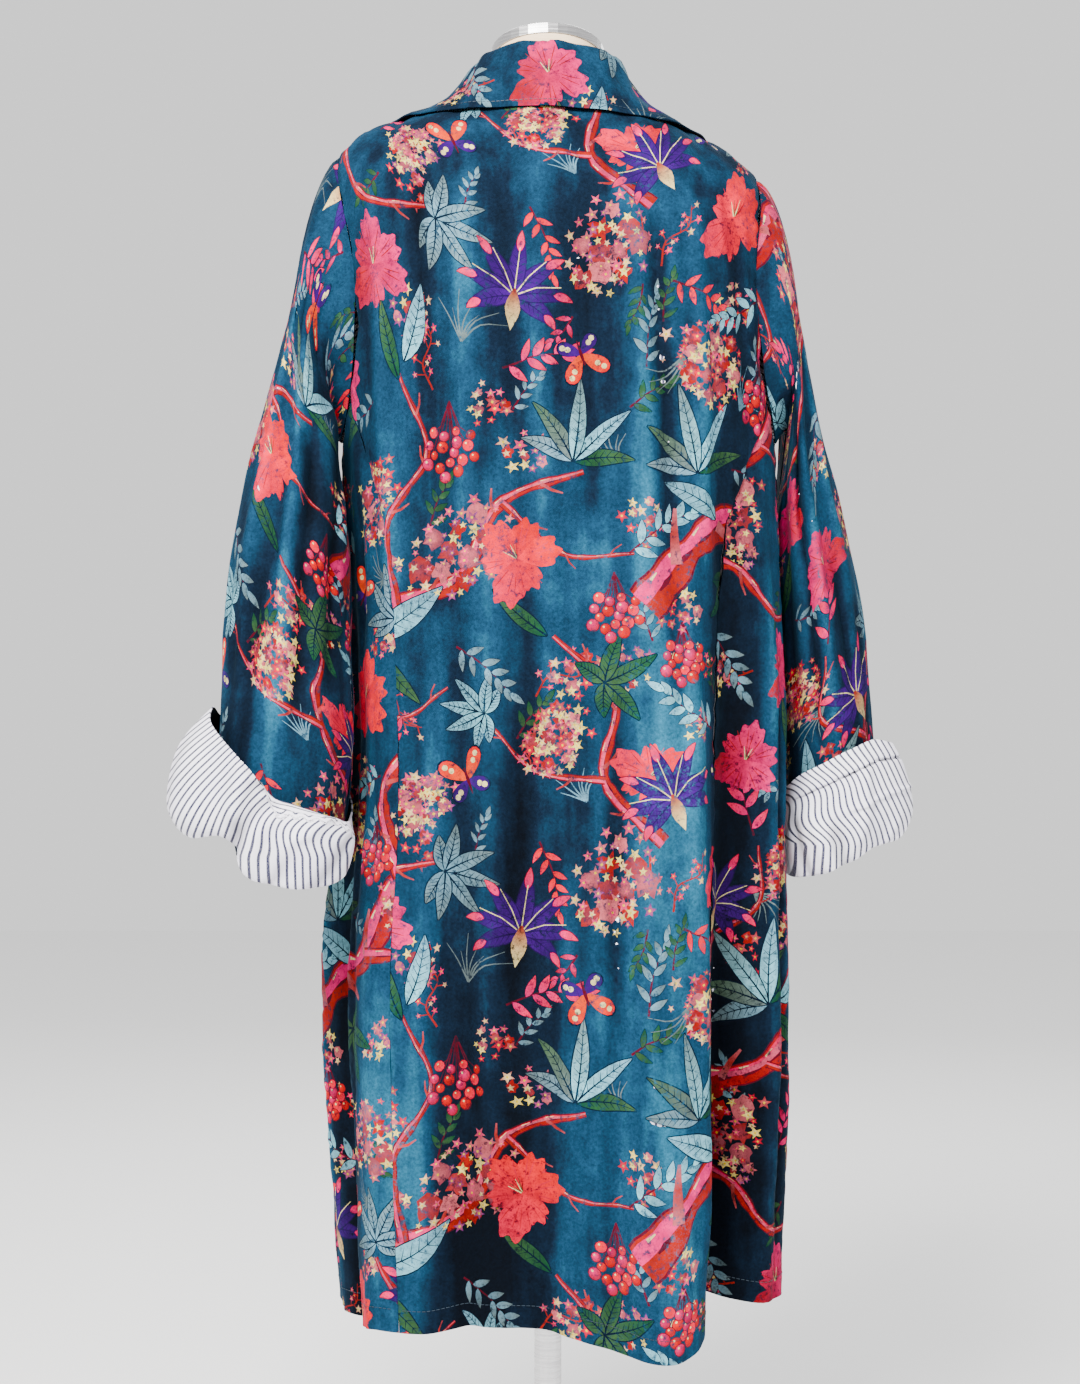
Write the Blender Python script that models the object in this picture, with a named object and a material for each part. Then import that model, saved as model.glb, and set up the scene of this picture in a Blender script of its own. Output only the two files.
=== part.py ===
"""A long velvet jacket with turned-back striped cuffs, worn by a limbless dress form on a stand.

The jacket's back faces -Y and its open front faces +Y. Metres, +Z up, with the floor at Z = 0 and the
origin under the stand's pole. Angles round the body are in degrees from the middle of the back, and
they grow towards +X: 90 is the right side, -90 the left side and 180 the middle of the front.
"Run" is the length of cloth from the neck seam down the back.
"""

import math
from collections import namedtuple

import bmesh
import bpy
import numpy as np

# Cloth and seams
CLOTH = 0.0020  # velvet with its lining
COLLAR_CLOTH = 0.0024  # velvet, interlining and velvet
SEAM_GAP = 0.0003
REST_GAP = 0.0004  # between the tops of the form's shoulders and the jacket that rests on them
REST_CLEAR = 0.0060  # more gap at the middle of the form's back and chest

# The jacket's lengths, as cloth from the neck seam
HEM_RUN = 1.24
MID_RUN = 0.76
ARMHOLE_TOP_RUN = 0.145
ARMHOLE_BOTTOM_RUN = 0.365
ARMHOLE_HALF_ANGLE = 26.0
ARM_RADIUS = 0.20  # from the middle of the body to an armhole
SEAM_TURN = 0.09  # how steeply a sleeve turns out of its armhole
SIDE_ANGLE = 90.0
SQUARENESS = 0.10  # how far the body's section leans from an ellipse to a rounded box

ROUND_SLEEVE = 16  # points round a sleeve
ROUND_CUFF = 32
SLEEVE_HEAD = (0.0, 0.035, 0.070, 0.110, 0.150, 0.205)  # rows that turn out of the armhole
SLEEVE_ROWS = 9  # rows below those
ROUND_FORM = 36
SHOULDER_RUNS = (0.0, 0.030, 0.060, 0.090, 0.118)
SKIRT_ROWS = 10
BACK_COLUMNS = 25
SIDE_BACK_RIGHT_COLUMNS = 12
SIDE_BACK_LEFT_COLUMNS = 10
FRONT_COLUMNS = 15
TIP_SHARE = 0.22  # where a side back's tip is cut off, as a share of the way to its next row

# The left side reaches out by left_wide more. Tilt raises the right side and lowers the left one
Section = namedtuple(
    "Section", "run side_z back_z front_z half_width back front centre_x left_wide tilt"
)
BODY = [
    Section(0.000, 1.5190, 1.5240, 1.5000, 0.0660, 0.0640, 0.0660, 0.000, 0.0000, 0.000),
    Section(0.050, 1.5050, 1.4880, 1.4550, 0.1300, 0.0980, 0.0920, 0.001, 0.0020, -0.005),
    Section(0.110, 1.4800, 1.4300, 1.3980, 0.1880, 0.1220, 0.1120, 0.004, 0.0080, -0.012),
    Section(0.150, 1.4560, 1.3900, 1.3600, 0.2090, 0.1330, 0.1230, 0.007, 0.0140, -0.012),
    Section(0.250, 1.3340, 1.2900, 1.2700, 0.2165, 0.1450, 0.1370, 0.011, 0.0080, -0.004),
    Section(0.370, 1.1720, 1.1700, 1.1660, 0.2200, 0.1500, 0.1440, 0.014, 0.0060, 0.000),
    Section(0.450, 1.0910, 1.0900, 1.0870, 0.2212, 0.1510, 0.1455, 0.014, 0.0030, 0.000),
    Section(0.600, 0.9400, 0.9400, 0.9380, 0.2240, 0.1530, 0.1480, 0.015, 0.0000, 0.000),
    Section(0.760, 0.7790, 0.7790, 0.7770, 0.2235, 0.1550, 0.1510, 0.016, 0.0050, 0.000),
    Section(0.860, 0.6780, 0.6780, 0.6760, 0.2245, 0.1560, 0.1520, 0.016, 0.0150, 0.001),
    Section(1.080, 0.4570, 0.4570, 0.4560, 0.2235, 0.1590, 0.1550, 0.017, 0.0120, 0.005),
    Section(1.240, 0.2960, 0.2960, 0.2960, 0.2150, 0.1600, 0.1560, 0.017, 0.0095, 0.010),
]

# A fold is a ridge where its depth is above 0, and a trough where it is below. It also lifts the hem
Fold = namedtuple(
    "Fold", "name top_angle hem_angle half_angle start_run mid_depth hem_depth hem_lift"
)
FOLDS = [
    Fold("right_ridge", 27.0, 22.0, 13.0, 0.16, 0.014, 0.044, -0.022),
    Fold("right_trough", 44.0, 50.0, 10.0, 0.20, -0.026, -0.090, 0.018),
    Fold("centre_ridge", 12.0, 6.0, 6.5, 0.10, 0.005, 0.004, 0.0),
    Fold("centre_trough", -3.0, -7.0, 8.0, 0.14, -0.006, -0.008, 0.007),
    Fold("left_ridge", -18.0, -15.0, 6.0, 0.08, 0.007, 0.004, 0.006),
    Fold("left_trough", -29.0, -25.0, 7.5, 0.12, -0.008, -0.020, 0.008),
    Fold("left_corner", -42.0, -47.0, 9.0, 0.12, 0.009, 0.022, 0.007),
    Fold("left_side_trough", -72.0, -72.0, 7.0, 0.20, -0.013, -0.024, 0.0),
    Fold("right_side_ridge", 84.0, 82.0, 9.0, 0.30, 0.006, 0.006, 0.0),
    Fold("right_front_trough", 108.0, 112.0, 9.0, 0.36, -0.012, -0.036, 0.004),
    Fold("right_front_ridge", 130.0, 132.0, 10.0, 0.30, 0.010, 0.026, -0.004),
    Fold("right_edge_trough", 154.0, 152.0, 7.0, 0.42, -0.006, -0.018, 0.002),
    Fold("left_front_ridge", -104.0, -106.0, 9.0, 0.36, 0.008, 0.018, 0.0),
    Fold("left_front_trough", -126.0, -130.0, 9.0, 0.30, -0.012, -0.034, 0.004),
    Fold("left_edge_ridge", -150.0, -152.0, 8.0, 0.42, 0.008, 0.020, -0.003),
]

Station = namedtuple("Station", "run angle")
# The curved seam from each armhole down the back
PRINCESS = [
    Station(0.3328, 71.6),
    Station(0.3566, 63.5),
    Station(0.3900, 56.0),
    Station(0.4500, 47.5),
    Station(0.5400, 44.0),
    Station(0.7000, 42.0),
    Station(1.2400, 41.5),
]
# The front edge, from the neck seam down the V to the straight opening
FRONT_EDGE = [
    Station(0.000, 126.0),
    Station(0.030, 139.0),
    Station(0.060, 148.0),
    Station(0.120, 158.5),
    Station(0.200, 166.5),
    Station(0.300, 172.5),
    Station(0.420, 177.0),
    Station(0.700, 177.4),
    Station(1.240, 175.5),
]

# Each sleeve ring: its point next to the body, its outer point, its reach to the back and front, and
# how far the cloth hangs in towards the body behind the underarm
SleeveRing = namedtuple("SleeveRing", "along inner_x inner_z outer_x outer_z back_y front_y hang")
LEFT_SLEEVE = [
    SleeveRing(0.00, 0.2230, 1.193, 0.2280, 1.455, -0.062, 0.060, 0.000),
    SleeveRing(0.10, 0.2360, 1.195, 0.2440, 1.408, -0.082, 0.066, 0.008),
    SleeveRing(0.22, 0.2290, 1.170, 0.2555, 1.330, -0.106, 0.052, 0.020),
    SleeveRing(0.29, 0.2190, 1.132, 0.2675, 1.272, -0.122, 0.028, 0.015),
    SleeveRing(0.38, 0.2050, 1.088, 0.2800, 1.215, -0.140, 0.006, 0.006),
    SleeveRing(0.56, 0.1980, 0.990, 0.3030, 1.095, -0.162, -0.020, 0.000),
    SleeveRing(0.74, 0.1950, 0.900, 0.3160, 0.975, -0.172, -0.028, 0.000),
    SleeveRing(0.90, 0.1980, 0.830, 0.3220, 0.885, -0.178, -0.034, 0.000),
    SleeveRing(1.00, 0.2020, 0.786, 0.3250, 0.820, -0.180, -0.036, 0.000),
]
RIGHT_SLEEVE = [
    SleeveRing(0.00, 0.2400, 1.196, 0.2320, 1.440, -0.062, 0.060, 0.000),
    SleeveRing(0.10, 0.2500, 1.197, 0.2450, 1.396, -0.064, 0.082, 0.000),
    SleeveRing(0.22, 0.2480, 1.172, 0.2575, 1.320, -0.052, 0.106, 0.000),
    SleeveRing(0.38, 0.2400, 1.085, 0.2820, 1.205, -0.036, 0.126, 0.000),
    SleeveRing(0.56, 0.2420, 0.990, 0.3100, 1.090, -0.026, 0.134, 0.000),
    SleeveRing(0.74, 0.2430, 0.900, 0.3310, 0.975, -0.018, 0.140, 0.000),
    SleeveRing(0.90, 0.2460, 0.826, 0.3415, 0.872, -0.012, 0.142, 0.000),
    SleeveRing(1.00, 0.2480, 0.784, 0.3455, 0.812, -0.010, 0.142, 0.000),
]
SLEEVE_GIRTH = 0.07  # the half width that a sleeve fold's depth is measured on
SLEEVE_SQUARE_X = 0.16
SLEEVE_SQUARE_Y = 0.08
SLEEVE_FREE = 0.20  # the share of its length where a sleeve has left the armhole's shape
# Soft folds of a sleeve: where they lie round it (0 outside, 90 back, 180 inside), and along it
SleeveFold = namedtuple("SleeveFold", "around half_angle along half_along depth")
SLEEVE_FOLDS = [
    SleeveFold(70.0, 20.0, 0.55, 0.30, -0.007),
    SleeveFold(118.0, 18.0, 0.70, 0.34, 0.006),
    SleeveFold(28.0, 18.0, 0.80, 0.22, 0.005),
    SleeveFold(300.0, 22.0, 0.60, 0.30, -0.007),
    SleeveFold(250.0, 20.0, 0.72, 0.30, 0.006),
]

# Each cuff station round the sleeve: how far the turned-back cloth bulges, drops below the sleeve's
# end and rises above it, and how far its free edge stands off the sleeve
CuffStation = namedtuple("CuffStation", "around bulge drop rise edge_off")
LEFT_CUFF = [
    CuffStation(0.0, 0.050, 0.034, 0.086, 0.008),
    CuffStation(30.0, 0.044, 0.037, 0.074, 0.012),
    CuffStation(55.0, 0.024, 0.032, 0.058, 0.010),
    CuffStation(75.0, 0.030, 0.062, 0.038, 0.012),
    CuffStation(90.0, 0.033, 0.064, 0.018, 0.013),
    CuffStation(105.0, 0.034, 0.064, 0.014, 0.014),
    CuffStation(135.0, 0.030, 0.050, 0.006, 0.012),
    CuffStation(165.0, 0.011, 0.030, 0.008, 0.006),
    CuffStation(200.0, 0.009, 0.032, 0.024, 0.006),
    CuffStation(240.0, 0.024, 0.040, 0.046, 0.010),
    CuffStation(280.0, 0.034, 0.036, 0.060, 0.012),
    CuffStation(325.0, 0.044, 0.028, 0.078, 0.010),
]
RIGHT_CUFF = [
    CuffStation(0.0, 0.038, 0.040, 0.056, 0.012),
    CuffStation(30.0, 0.036, 0.042, 0.058, 0.014),
    CuffStation(58.0, 0.028, 0.042, 0.066, 0.010),
    CuffStation(80.0, 0.030, 0.052, 0.062, 0.014),
    CuffStation(110.0, 0.022, 0.059, 0.050, 0.012),
    CuffStation(140.0, 0.011, 0.055, 0.036, 0.006),
    CuffStation(170.0, 0.010, 0.040, 0.034, 0.006),
    CuffStation(205.0, 0.011, 0.036, 0.034, 0.006),
    CuffStation(245.0, 0.020, 0.042, 0.044, 0.010),
    CuffStation(290.0, 0.036, 0.034, 0.056, 0.012),
    CuffStation(330.0, 0.038, 0.038, 0.058, 0.014),
]
# The turned-back cloth from the sleeve's end, round the bottom and up, as shares of a station's sizes
CuffTurn = namedtuple("CuffTurn", "bulge drop rise")
CUFF_TURNS = [
    CuffTurn(0.00, 0.00, 0.00),
    CuffTurn(0.16, 0.72, 0.00),
    CuffTurn(0.62, 1.00, 0.00),
    CuffTurn(1.00, 0.30, 0.00),
    CuffTurn(0.78, 0.00, 0.55),
]
CUFF_ROWS = 8

# The collar, from the middle of the back to where it ends on each front: its seam, the height of its
# stand, its outer edge, and how far it stands (1) or lies flat on the front as a lapel (0)
CollarStation = namedtuple(
    "CollarStation", "along seam_angle seam_run stand edge_angle edge_run standing bow"
)
COLLAR = [
    CollarStation(0.00, 0.0, 0.002, 0.0480, 0.0, 0.030, 1.0, 0.0050),
    CollarStation(0.10, 34.0, 0.002, 0.0470, 30.0, 0.038, 1.0, 0.0020),
    CollarStation(0.22, 72.0, 0.002, 0.0450, 66.0, 0.060, 1.0, -0.0090),
    CollarStation(0.34, 108.0, 0.002, 0.0400, 100.0, 0.086, 0.85, -0.0080),
    CollarStation(0.46, 134.0, 0.018, 0.0240, 120.0, 0.116, 0.40, -0.0030),
    CollarStation(0.60, 151.5, 0.070, 0.0080, 134.0, 0.172, 0.08, 0.0),
    CollarStation(0.76, 163.0, 0.160, 0.0000, 147.0, 0.250, 0.0, 0.0),
    CollarStation(0.90, 170.0, 0.250, 0.0000, 160.0, 0.322, 0.0, 0.0),
    CollarStation(1.00, 174.0, 0.330, 0.0000, 171.0, 0.352, 0.0, 0.0),
]
COLLAR_COLUMNS = 36
COLLAR_ROWS = 10
COLLAR_LIFT = 0.0015  # how far the lapels stand off the fronts, apart from their edges
LAPEL_ROLL = 0.0060
COLLAR_LEAN = 0.955  # how far in the top of the stand leans, as a share of the seam's width
COLLAR_FOLD = 0.0085  # how far out the collar turns over at its top
COLLAR_TOP_DROP = 0.0015
COLLAR_FOLD_DROP = 0.0005
COLLAR_BOW_UP = 0.75  # how far the fall bows up, as a share of how far it bows out

# The dress form
NECK_RADIUS = 0.0570
NECK_TOP_Z = 1.5715
NECK_LOW_Z = 1.5350
NECK_TILT = 16.0  # degrees that its top leans towards the front
CAP_HEIGHT = 0.0125
CAP_RADIUS = 0.0583
CAP_BEVEL = 0.0015
FORM_REST_RUNS = (0.000, 0.030, 0.060, 0.090)
FormRing = namedtuple("FormRing", "side_z back_z front_z half_width back front")
FORM_TORSO = [
    FormRing(1.4450, 1.3900, 1.3600, 0.1830, 0.1180, 0.1090),
    FormRing(1.3850, 1.3300, 1.3100, 0.1760, 0.1150, 0.1120),
    FormRing(1.2900, 1.2600, 1.2500, 0.1640, 0.1100, 0.1220),
    FormRing(1.1900, 1.1800, 1.1800, 0.1560, 0.1050, 0.1230),
    FormRing(1.1000, 1.1000, 1.1000, 0.1420, 0.0980, 0.1080),
    FormRing(1.0200, 1.0200, 1.0200, 0.1340, 0.0940, 0.1000),
    FormRing(0.9300, 0.9300, 0.9300, 0.1450, 0.1020, 0.1040),
    FormRing(0.8500, 0.8500, 0.8500, 0.1540, 0.1080, 0.1060),
    FormRing(0.8000, 0.8000, 0.8000, 0.1520, 0.1060, 0.1040),
]
FORM_BOTTOM_Z = FORM_TORSO[-1].side_z

# The stand
POLE_RADIUS = 0.0140
FLANGE_RADIUS = 0.0450
FLANGE_HEIGHT = 0.0120
FLANGE_EDGE = 0.0070
BASE_RADIUS = 0.1800
BASE_HEIGHT = 0.0080
BASE_BEVEL = 0.0025
HUB_RADIUS = 0.0260
HUB_HEIGHT = 0.0400
HUB_FILLET = 0.0050
ROUND_BASE = 36
ROUND_POLE = 20


def clear_scene():
    for thing in list(bpy.data.objects):
        bpy.data.objects.remove(thing)


def finish(name, colour, roughness, metallic=0.0):
    material = bpy.data.materials.new(name)
    material.use_nodes = True
    shader = material.node_tree.nodes["Principled BSDF"]
    shader.inputs["Base Color"].default_value = (*colour, 1.0)
    shader.inputs["Roughness"].default_value = roughness
    shader.inputs["Metallic"].default_value = metallic
    return material


def smooth_rows(rows, at):
    """The rows' columns at these places in their first column, on a curve through the rows."""
    table = np.array([tuple(row) for row in rows], float)
    places = table[:, 0]
    slopes = np.gradient(table, places, axis=0)
    at = np.clip(np.asarray(at, float), places[0], places[-1])
    index = np.clip(np.searchsorted(places, at, side="right") - 1, 0, len(places) - 2)
    width = (places[index + 1] - places[index])[..., None]
    t = (at - places[index])[..., None] / width
    low, high = table[index], table[index + 1]
    low_slope, high_slope = slopes[index] * width, slopes[index + 1] * width
    return (
        (2 * t**3 - 3 * t**2 + 1) * low
        + (t**3 - 2 * t**2 + t) * low_slope
        + (3 * t**2 - 2 * t**3) * high
        + (t**3 - t**2) * high_slope
    )


def station_angle(stations, run):
    places = [station.run for station in stations]
    return np.interp(run, places, [station.angle for station in stations])


def unit(vectors):
    return vectors / np.linalg.norm(vectors, axis=-1, keepdims=True)


def through_knots(knots, place):
    """A point on the curve through a list of knots, which are numbers or points, 0 at the first."""
    last = len(knots) - 1
    index = np.clip(np.floor(place).astype(int), 0, last - 1)
    t = place - index
    while t.ndim < knots[0].ndim:
        t, index = t[..., None], index[..., None]

    def knot(i):
        i = np.clip(i, 0, last)
        return sum(np.where(i == n, knots[n], 0.0) for n in range(last + 1))

    a, b, c, d = knot(index - 1), knot(index), knot(index + 1), knot(index + 2)
    bend = (2 * a - 5 * b + 4 * c - d) * t**2 + (3 * b - a - 3 * c + d) * t**3
    return 0.5 * (2 * b + (c - a) * t + bend)


def fold_push(angle, run):
    """How far the folds push the cloth outwards there, and lift it."""
    push = np.zeros(np.broadcast(angle, run).shape)
    lift = push
    down = np.clip((run - MID_RUN) / (HEM_RUN - MID_RUN), 0, 1)
    for fold in FOLDS:
        centre = fold.top_angle + (fold.hem_angle - fold.top_angle) * run / HEM_RUN
        off = (angle - centre + 180.0) % 360.0 - 180.0
        grown = np.clip((run - fold.start_run) / (MID_RUN - fold.start_run), 0, 1)
        grown = grown * grown * (3 - 2 * grown)
        depth = fold.mid_depth * grown + (fold.hem_depth - fold.mid_depth) * down
        near = np.exp(-((off / fold.half_angle) ** 2))
        push, lift = push + depth * near, lift + fold.hem_lift * down * near
    return push, lift


def body_shell(angle, run, folded=True):
    """Points in the middle of the body's cloth."""
    angle, run = np.broadcast_arrays(np.asarray(angle, float), np.asarray(run, float))
    row = smooth_rows(BODY, run)
    side_z, back_z, front_z, half_width, back, front, centre_x, left_wide, tilt = (
        row[..., i] for i in range(1, 10)
    )
    s, c = np.sin(np.radians(angle)), np.cos(np.radians(angle))
    depth = np.where(c > 0, back, front)
    x = half_width * s * (1 + SQUARENESS * c * c)
    y = -depth * c * (1 + SQUARENESS * s * s)
    z = side_z + (np.where(c > 0, back_z, front_z) - side_z) * c * c + tilt * s
    x = x - left_wide * np.clip(-s, 0, 1) ** 2
    if folded:
        out_x, out_y = s / half_width, -c / depth
        push, lift = fold_push(angle, run)
        push = push / np.hypot(out_x, out_y)
        x, y, z = x + push * out_x, y + push * out_y, z + lift
    return np.stack([x + centre_x, y, z], axis=-1)


def shell_normal(angle, run, folded=True):
    angle, run = np.broadcast_arrays(np.asarray(angle, float), np.asarray(run, float))
    round_step, down_step = 0.4, 0.0015
    low = np.clip(run - down_step, 0, HEM_RUN)
    high = np.clip(run + down_step, 0, HEM_RUN)
    across = body_shell(angle + round_step, run, folded) - body_shell(angle - round_step, run, folded)
    along = body_shell(angle, high, folded) - body_shell(angle, low, folded)
    return unit(np.cross(along, across))


def wall_mesh(middle, normals, thickness, closed):
    """A wall of this thickness about a grid of middle points, as a bmesh. Closed joins its columns."""
    rows, columns = middle.shape[:2]
    outer, inner = middle + normals * thickness / 2, middle - normals * thickness / 2
    mesh = bmesh.new()
    sheets = [[[mesh.verts.new(p) for p in row] for row in sheet] for sheet in (outer, inner)]
    last = columns if closed else columns - 1

    def quad(a, b, c, d):
        mesh.faces.new((a, b, c))
        mesh.faces.new((a, c, d))

    for i in range(rows - 1):
        for j in range(last):
            k = (j + 1) % columns
            o, n = sheets
            quad(o[i][j], o[i + 1][j], o[i + 1][k], o[i][k])
            quad(n[i][j], n[i][k], n[i + 1][k], n[i + 1][j])
    for i, flip in ((0, False), (rows - 1, True)):
        for j in range(last):
            k = (j + 1) % columns
            ring = (sheets[0][i][j], sheets[0][i][k], sheets[1][i][k], sheets[1][i][j])
            quad(*(ring[::-1] if flip else ring))
    if not closed:
        for j, flip in ((0, True), (columns - 1, False)):
            for i in range(rows - 1):
                ring = (sheets[0][i][j], sheets[1][i][j], sheets[1][i + 1][j], sheets[0][i + 1][j])
                quad(*(ring[::-1] if not flip else ring))
    return mesh


def add_object(name, mesh, material, sharp_degrees=40.0):
    bmesh.ops.recalc_face_normals(mesh, faces=mesh.faces[:])
    data = bpy.data.meshes.new(name)
    mesh.to_mesh(data)
    mesh.free()
    data.materials.append(material)
    data.shade_smooth()
    data.set_sharp_from_angle(angle=math.radians(sharp_degrees))
    thing = bpy.data.objects.new(name, data)
    bpy.context.scene.collection.objects.link(thing)
    return thing


def armhole_half(run):
    """The armhole's half angle at a run, which is 0 above and below it."""
    middle = (ARMHOLE_TOP_RUN + ARMHOLE_BOTTOM_RUN) / 2
    reach = (ARMHOLE_BOTTOM_RUN - ARMHOLE_TOP_RUN) / 2
    inside = np.clip(1 - ((run - middle) / reach) ** 2, 0, 1)
    return ARMHOLE_HALF_ANGLE * np.sqrt(inside)


def body_runs():
    """The rows that all the body's panels share. Those at the armhole meet the sleeve's points."""
    middle = (ARMHOLE_TOP_RUN + ARMHOLE_BOTTOM_RUN) / 2
    reach = (ARMHOLE_BOTTOM_RUN - ARMHOLE_TOP_RUN) / 2
    turns = np.linspace(0, math.pi, ROUND_SLEEVE // 2 + 1)
    skirt = np.linspace(ARMHOLE_BOTTOM_RUN, HEM_RUN, SKIRT_ROWS + 1)[1:]
    return np.concatenate([SHOULDER_RUNS, middle - reach * np.cos(turns), skirt])


def panel(name, material, runs, left, right, columns):
    """A panel of the body between two edges, which are angles by run, less its seam allowance."""
    low, high = np.array([left(r) for r in runs]), np.array([right(r) for r in runs])
    steps = []
    for edge in (low, high):
        wide = body_shell(edge + 0.2, runs) - body_shell(edge - 0.2, runs)
        steps.append(0.4 * (SEAM_GAP / 2 + 0.00005) / np.linalg.norm(wide, axis=-1))
    share = np.linspace(0, 1, columns)
    angle = (low + steps[0])[:, None] * (1 - share) + (high - steps[1])[:, None] * share
    run = np.repeat(runs[:, None], columns, axis=1)
    mesh = wall_mesh(body_shell(angle, run), shell_normal(angle, run), CLOTH, False)
    return add_object(name, mesh, material)


def back_edge(run):
    """Where the middle back panel ends: the shoulder seam, the armhole, then the curved seam."""
    if run <= PRINCESS[0].run:
        return SIDE_ANGLE - float(armhole_half(run))
    return float(station_angle(PRINCESS, run))


def make_body(velvet):
    runs = body_runs()
    panel("back", velvet, runs, lambda r: -back_edge(r), back_edge, BACK_COLUMNS)
    tip = PRINCESS[0].run
    below = runs[runs > tip + CLOTH]
    start = tip + TIP_SHARE * (below[0] - tip)
    side_runs = np.concatenate([[start], below])

    def side_edge(run):
        if run >= below[0]:
            return SIDE_ANGLE - float(armhole_half(run))
        share = (run - tip) / (below[0] - tip)
        low, high = (SIDE_ANGLE - float(armhole_half(r)) for r in (tip, below[0]))
        return low + (high - low) * share

    def seam_edge(run):
        return float(station_angle(PRINCESS, run))

    def front_edge(run):
        return float(station_angle(FRONT_EDGE, run))

    def front_side(run):
        return SIDE_ANGLE + float(armhole_half(run))

    def mirrored(edge):
        return lambda run: -edge(run)

    panel("side_back_right", velvet, side_runs, seam_edge, side_edge, SIDE_BACK_RIGHT_COLUMNS)
    panel(
        "side_back_left", velvet, side_runs,
        mirrored(side_edge), mirrored(seam_edge), SIDE_BACK_LEFT_COLUMNS,
    )
    panel("front_right", velvet, runs, front_side, front_edge, FRONT_COLUMNS)
    panel("front_left", velvet, runs, mirrored(front_edge), mirrored(front_side), FRONT_COLUMNS)


def armhole_point(side, around, inset):
    """A point on the armhole's edge, drawn in by the seam's gap, and the cloth's normal there."""
    middle = (ARMHOLE_TOP_RUN + ARMHOLE_BOTTOM_RUN) / 2
    reach = (ARMHOLE_BOTTOM_RUN - ARMHOLE_TOP_RUN) / 2 - inset
    half = ARMHOLE_HALF_ANGLE - np.degrees(inset / ARM_RADIUS)
    angle = side * (SIDE_ANGLE - half * np.sin(around))
    run = middle - reach * np.cos(around)
    return body_shell(angle, run), shell_normal(angle, run)


def sleeve_surface(side, rings, along, around):
    """Points in the middle of a sleeve's cloth. Around is 0 outside, a quarter turn at the back."""
    row = smooth_rows(rings, along)
    inner_x, inner_z, outer_x, outer_z, back_y, front_y, hang = (row[..., i] for i in range(1, 8))
    c, s = np.cos(around), np.sin(around)
    push = np.zeros(c.shape)
    for fold in SLEEVE_FOLDS:
        off = (np.degrees(around) - fold.around + 180.0) % 360.0 - 180.0
        far = (along - fold.along) / fold.half_along
        push = push + fold.depth * np.exp(-((off / fold.half_angle) ** 2) - far**2)
    half_x, half_z, half_y = (outer_x - inner_x) / 2, (outer_z - inner_z) / 2, (front_y - back_y) / 2
    swell = 1 + push / SLEEVE_GIRTH
    x = (outer_x + inner_x) / 2 + half_x * c * swell * (1 + SLEEVE_SQUARE_X * s * s)
    x = side * (x - hang * np.clip(-2 * c * s, 0, 1))
    y = (front_y + back_y) / 2 - half_y * s * swell * (1 + SLEEVE_SQUARE_Y * c * c)
    z = (outer_z + inner_z) / 2 + half_z * c
    loose = np.stack([x, y, z], axis=-1)
    seam, normal = armhole_point(side, around, SEAM_GAP + 0.0002 + SEAM_TURN * along)
    seam = seam + normal * (SEAM_TURN * along)[..., None]
    share = np.clip(along / SLEEVE_FREE, 0, 1)
    share = (share * share * (3 - 2 * share))[..., None]
    return seam * (1 - share) + loose * share


def surface_normals(surface, along, around, step=0.004):
    low, high = np.clip(along - step, 0, 1), np.clip(along + step, 0, 1)
    down = surface(high, around) - surface(low, around)
    across = surface(along, around + 0.02) - surface(along, around - 0.02)
    return unit(np.cross(down, across))


def make_sleeve(name, side, rings, velvet):
    step = (1.0 - SLEEVE_HEAD[-1]) / SLEEVE_ROWS
    along = np.concatenate([SLEEVE_HEAD, np.linspace(SLEEVE_HEAD[-1] + step, 1.0, SLEEVE_ROWS)])
    around = np.arange(ROUND_SLEEVE) * 2 * math.pi / ROUND_SLEEVE
    grid_along, grid_around = np.meshgrid(along, around, indexing="ij")

    def surface(a, w):
        return sleeve_surface(side, rings, a, w)

    middle = surface(grid_along, grid_around)
    normals = side * -surface_normals(surface, grid_along, grid_around, 0.02)
    normals[0] = armhole_point(side, around, SEAM_GAP + 0.0002)[1]
    add_object(name, wall_mesh(middle, normals, CLOTH, True), velvet)


def cuff_surface(side, rings, stations, up, around):
    """Points in the middle of a turned-back cuff. Up is 0 at the sleeve's end and 1 at the free edge."""
    wrapped = [s._replace(around=s.around - 360.0) for s in stations[-2:]]
    wrapped += stations + [s._replace(around=s.around + 360.0) for s in stations[:2]]
    row = smooth_rows(wrapped, np.degrees(around) % 360.0)
    bulge, drop, rise, edge_off = (row[..., i] for i in range(1, 5))
    end = sleeve_surface(side, rings, np.ones(up.shape), around)
    ahead = sleeve_surface(side, rings, np.ones(up.shape), around + 0.02)
    behind = sleeve_surface(side, rings, np.ones(up.shape), around - 0.02)
    level = unit((ahead - behind) * np.array([1.0, 1.0, 0.0]))
    out = np.cross(level, np.array([0.0, 0.0, 1.0])) * -side
    start = 0.5 * CLOTH + SEAM_GAP
    out_knots = [bulge * turn.bulge for turn in CUFF_TURNS] + [edge_off + CLOTH]
    up_knots = [rise * turn.rise - drop * turn.drop for turn in CUFF_TURNS] + [rise]
    up_knots[0] = up_knots[0] - start
    place = np.clip(up, 0, 1) * len(CUFF_TURNS)
    far, high = through_knots(out_knots, place), through_knots(up_knots, place)
    lift = np.array([0.0, 0.0, 1.0])
    return end + out * far[..., None] + lift * high[..., None]


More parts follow.
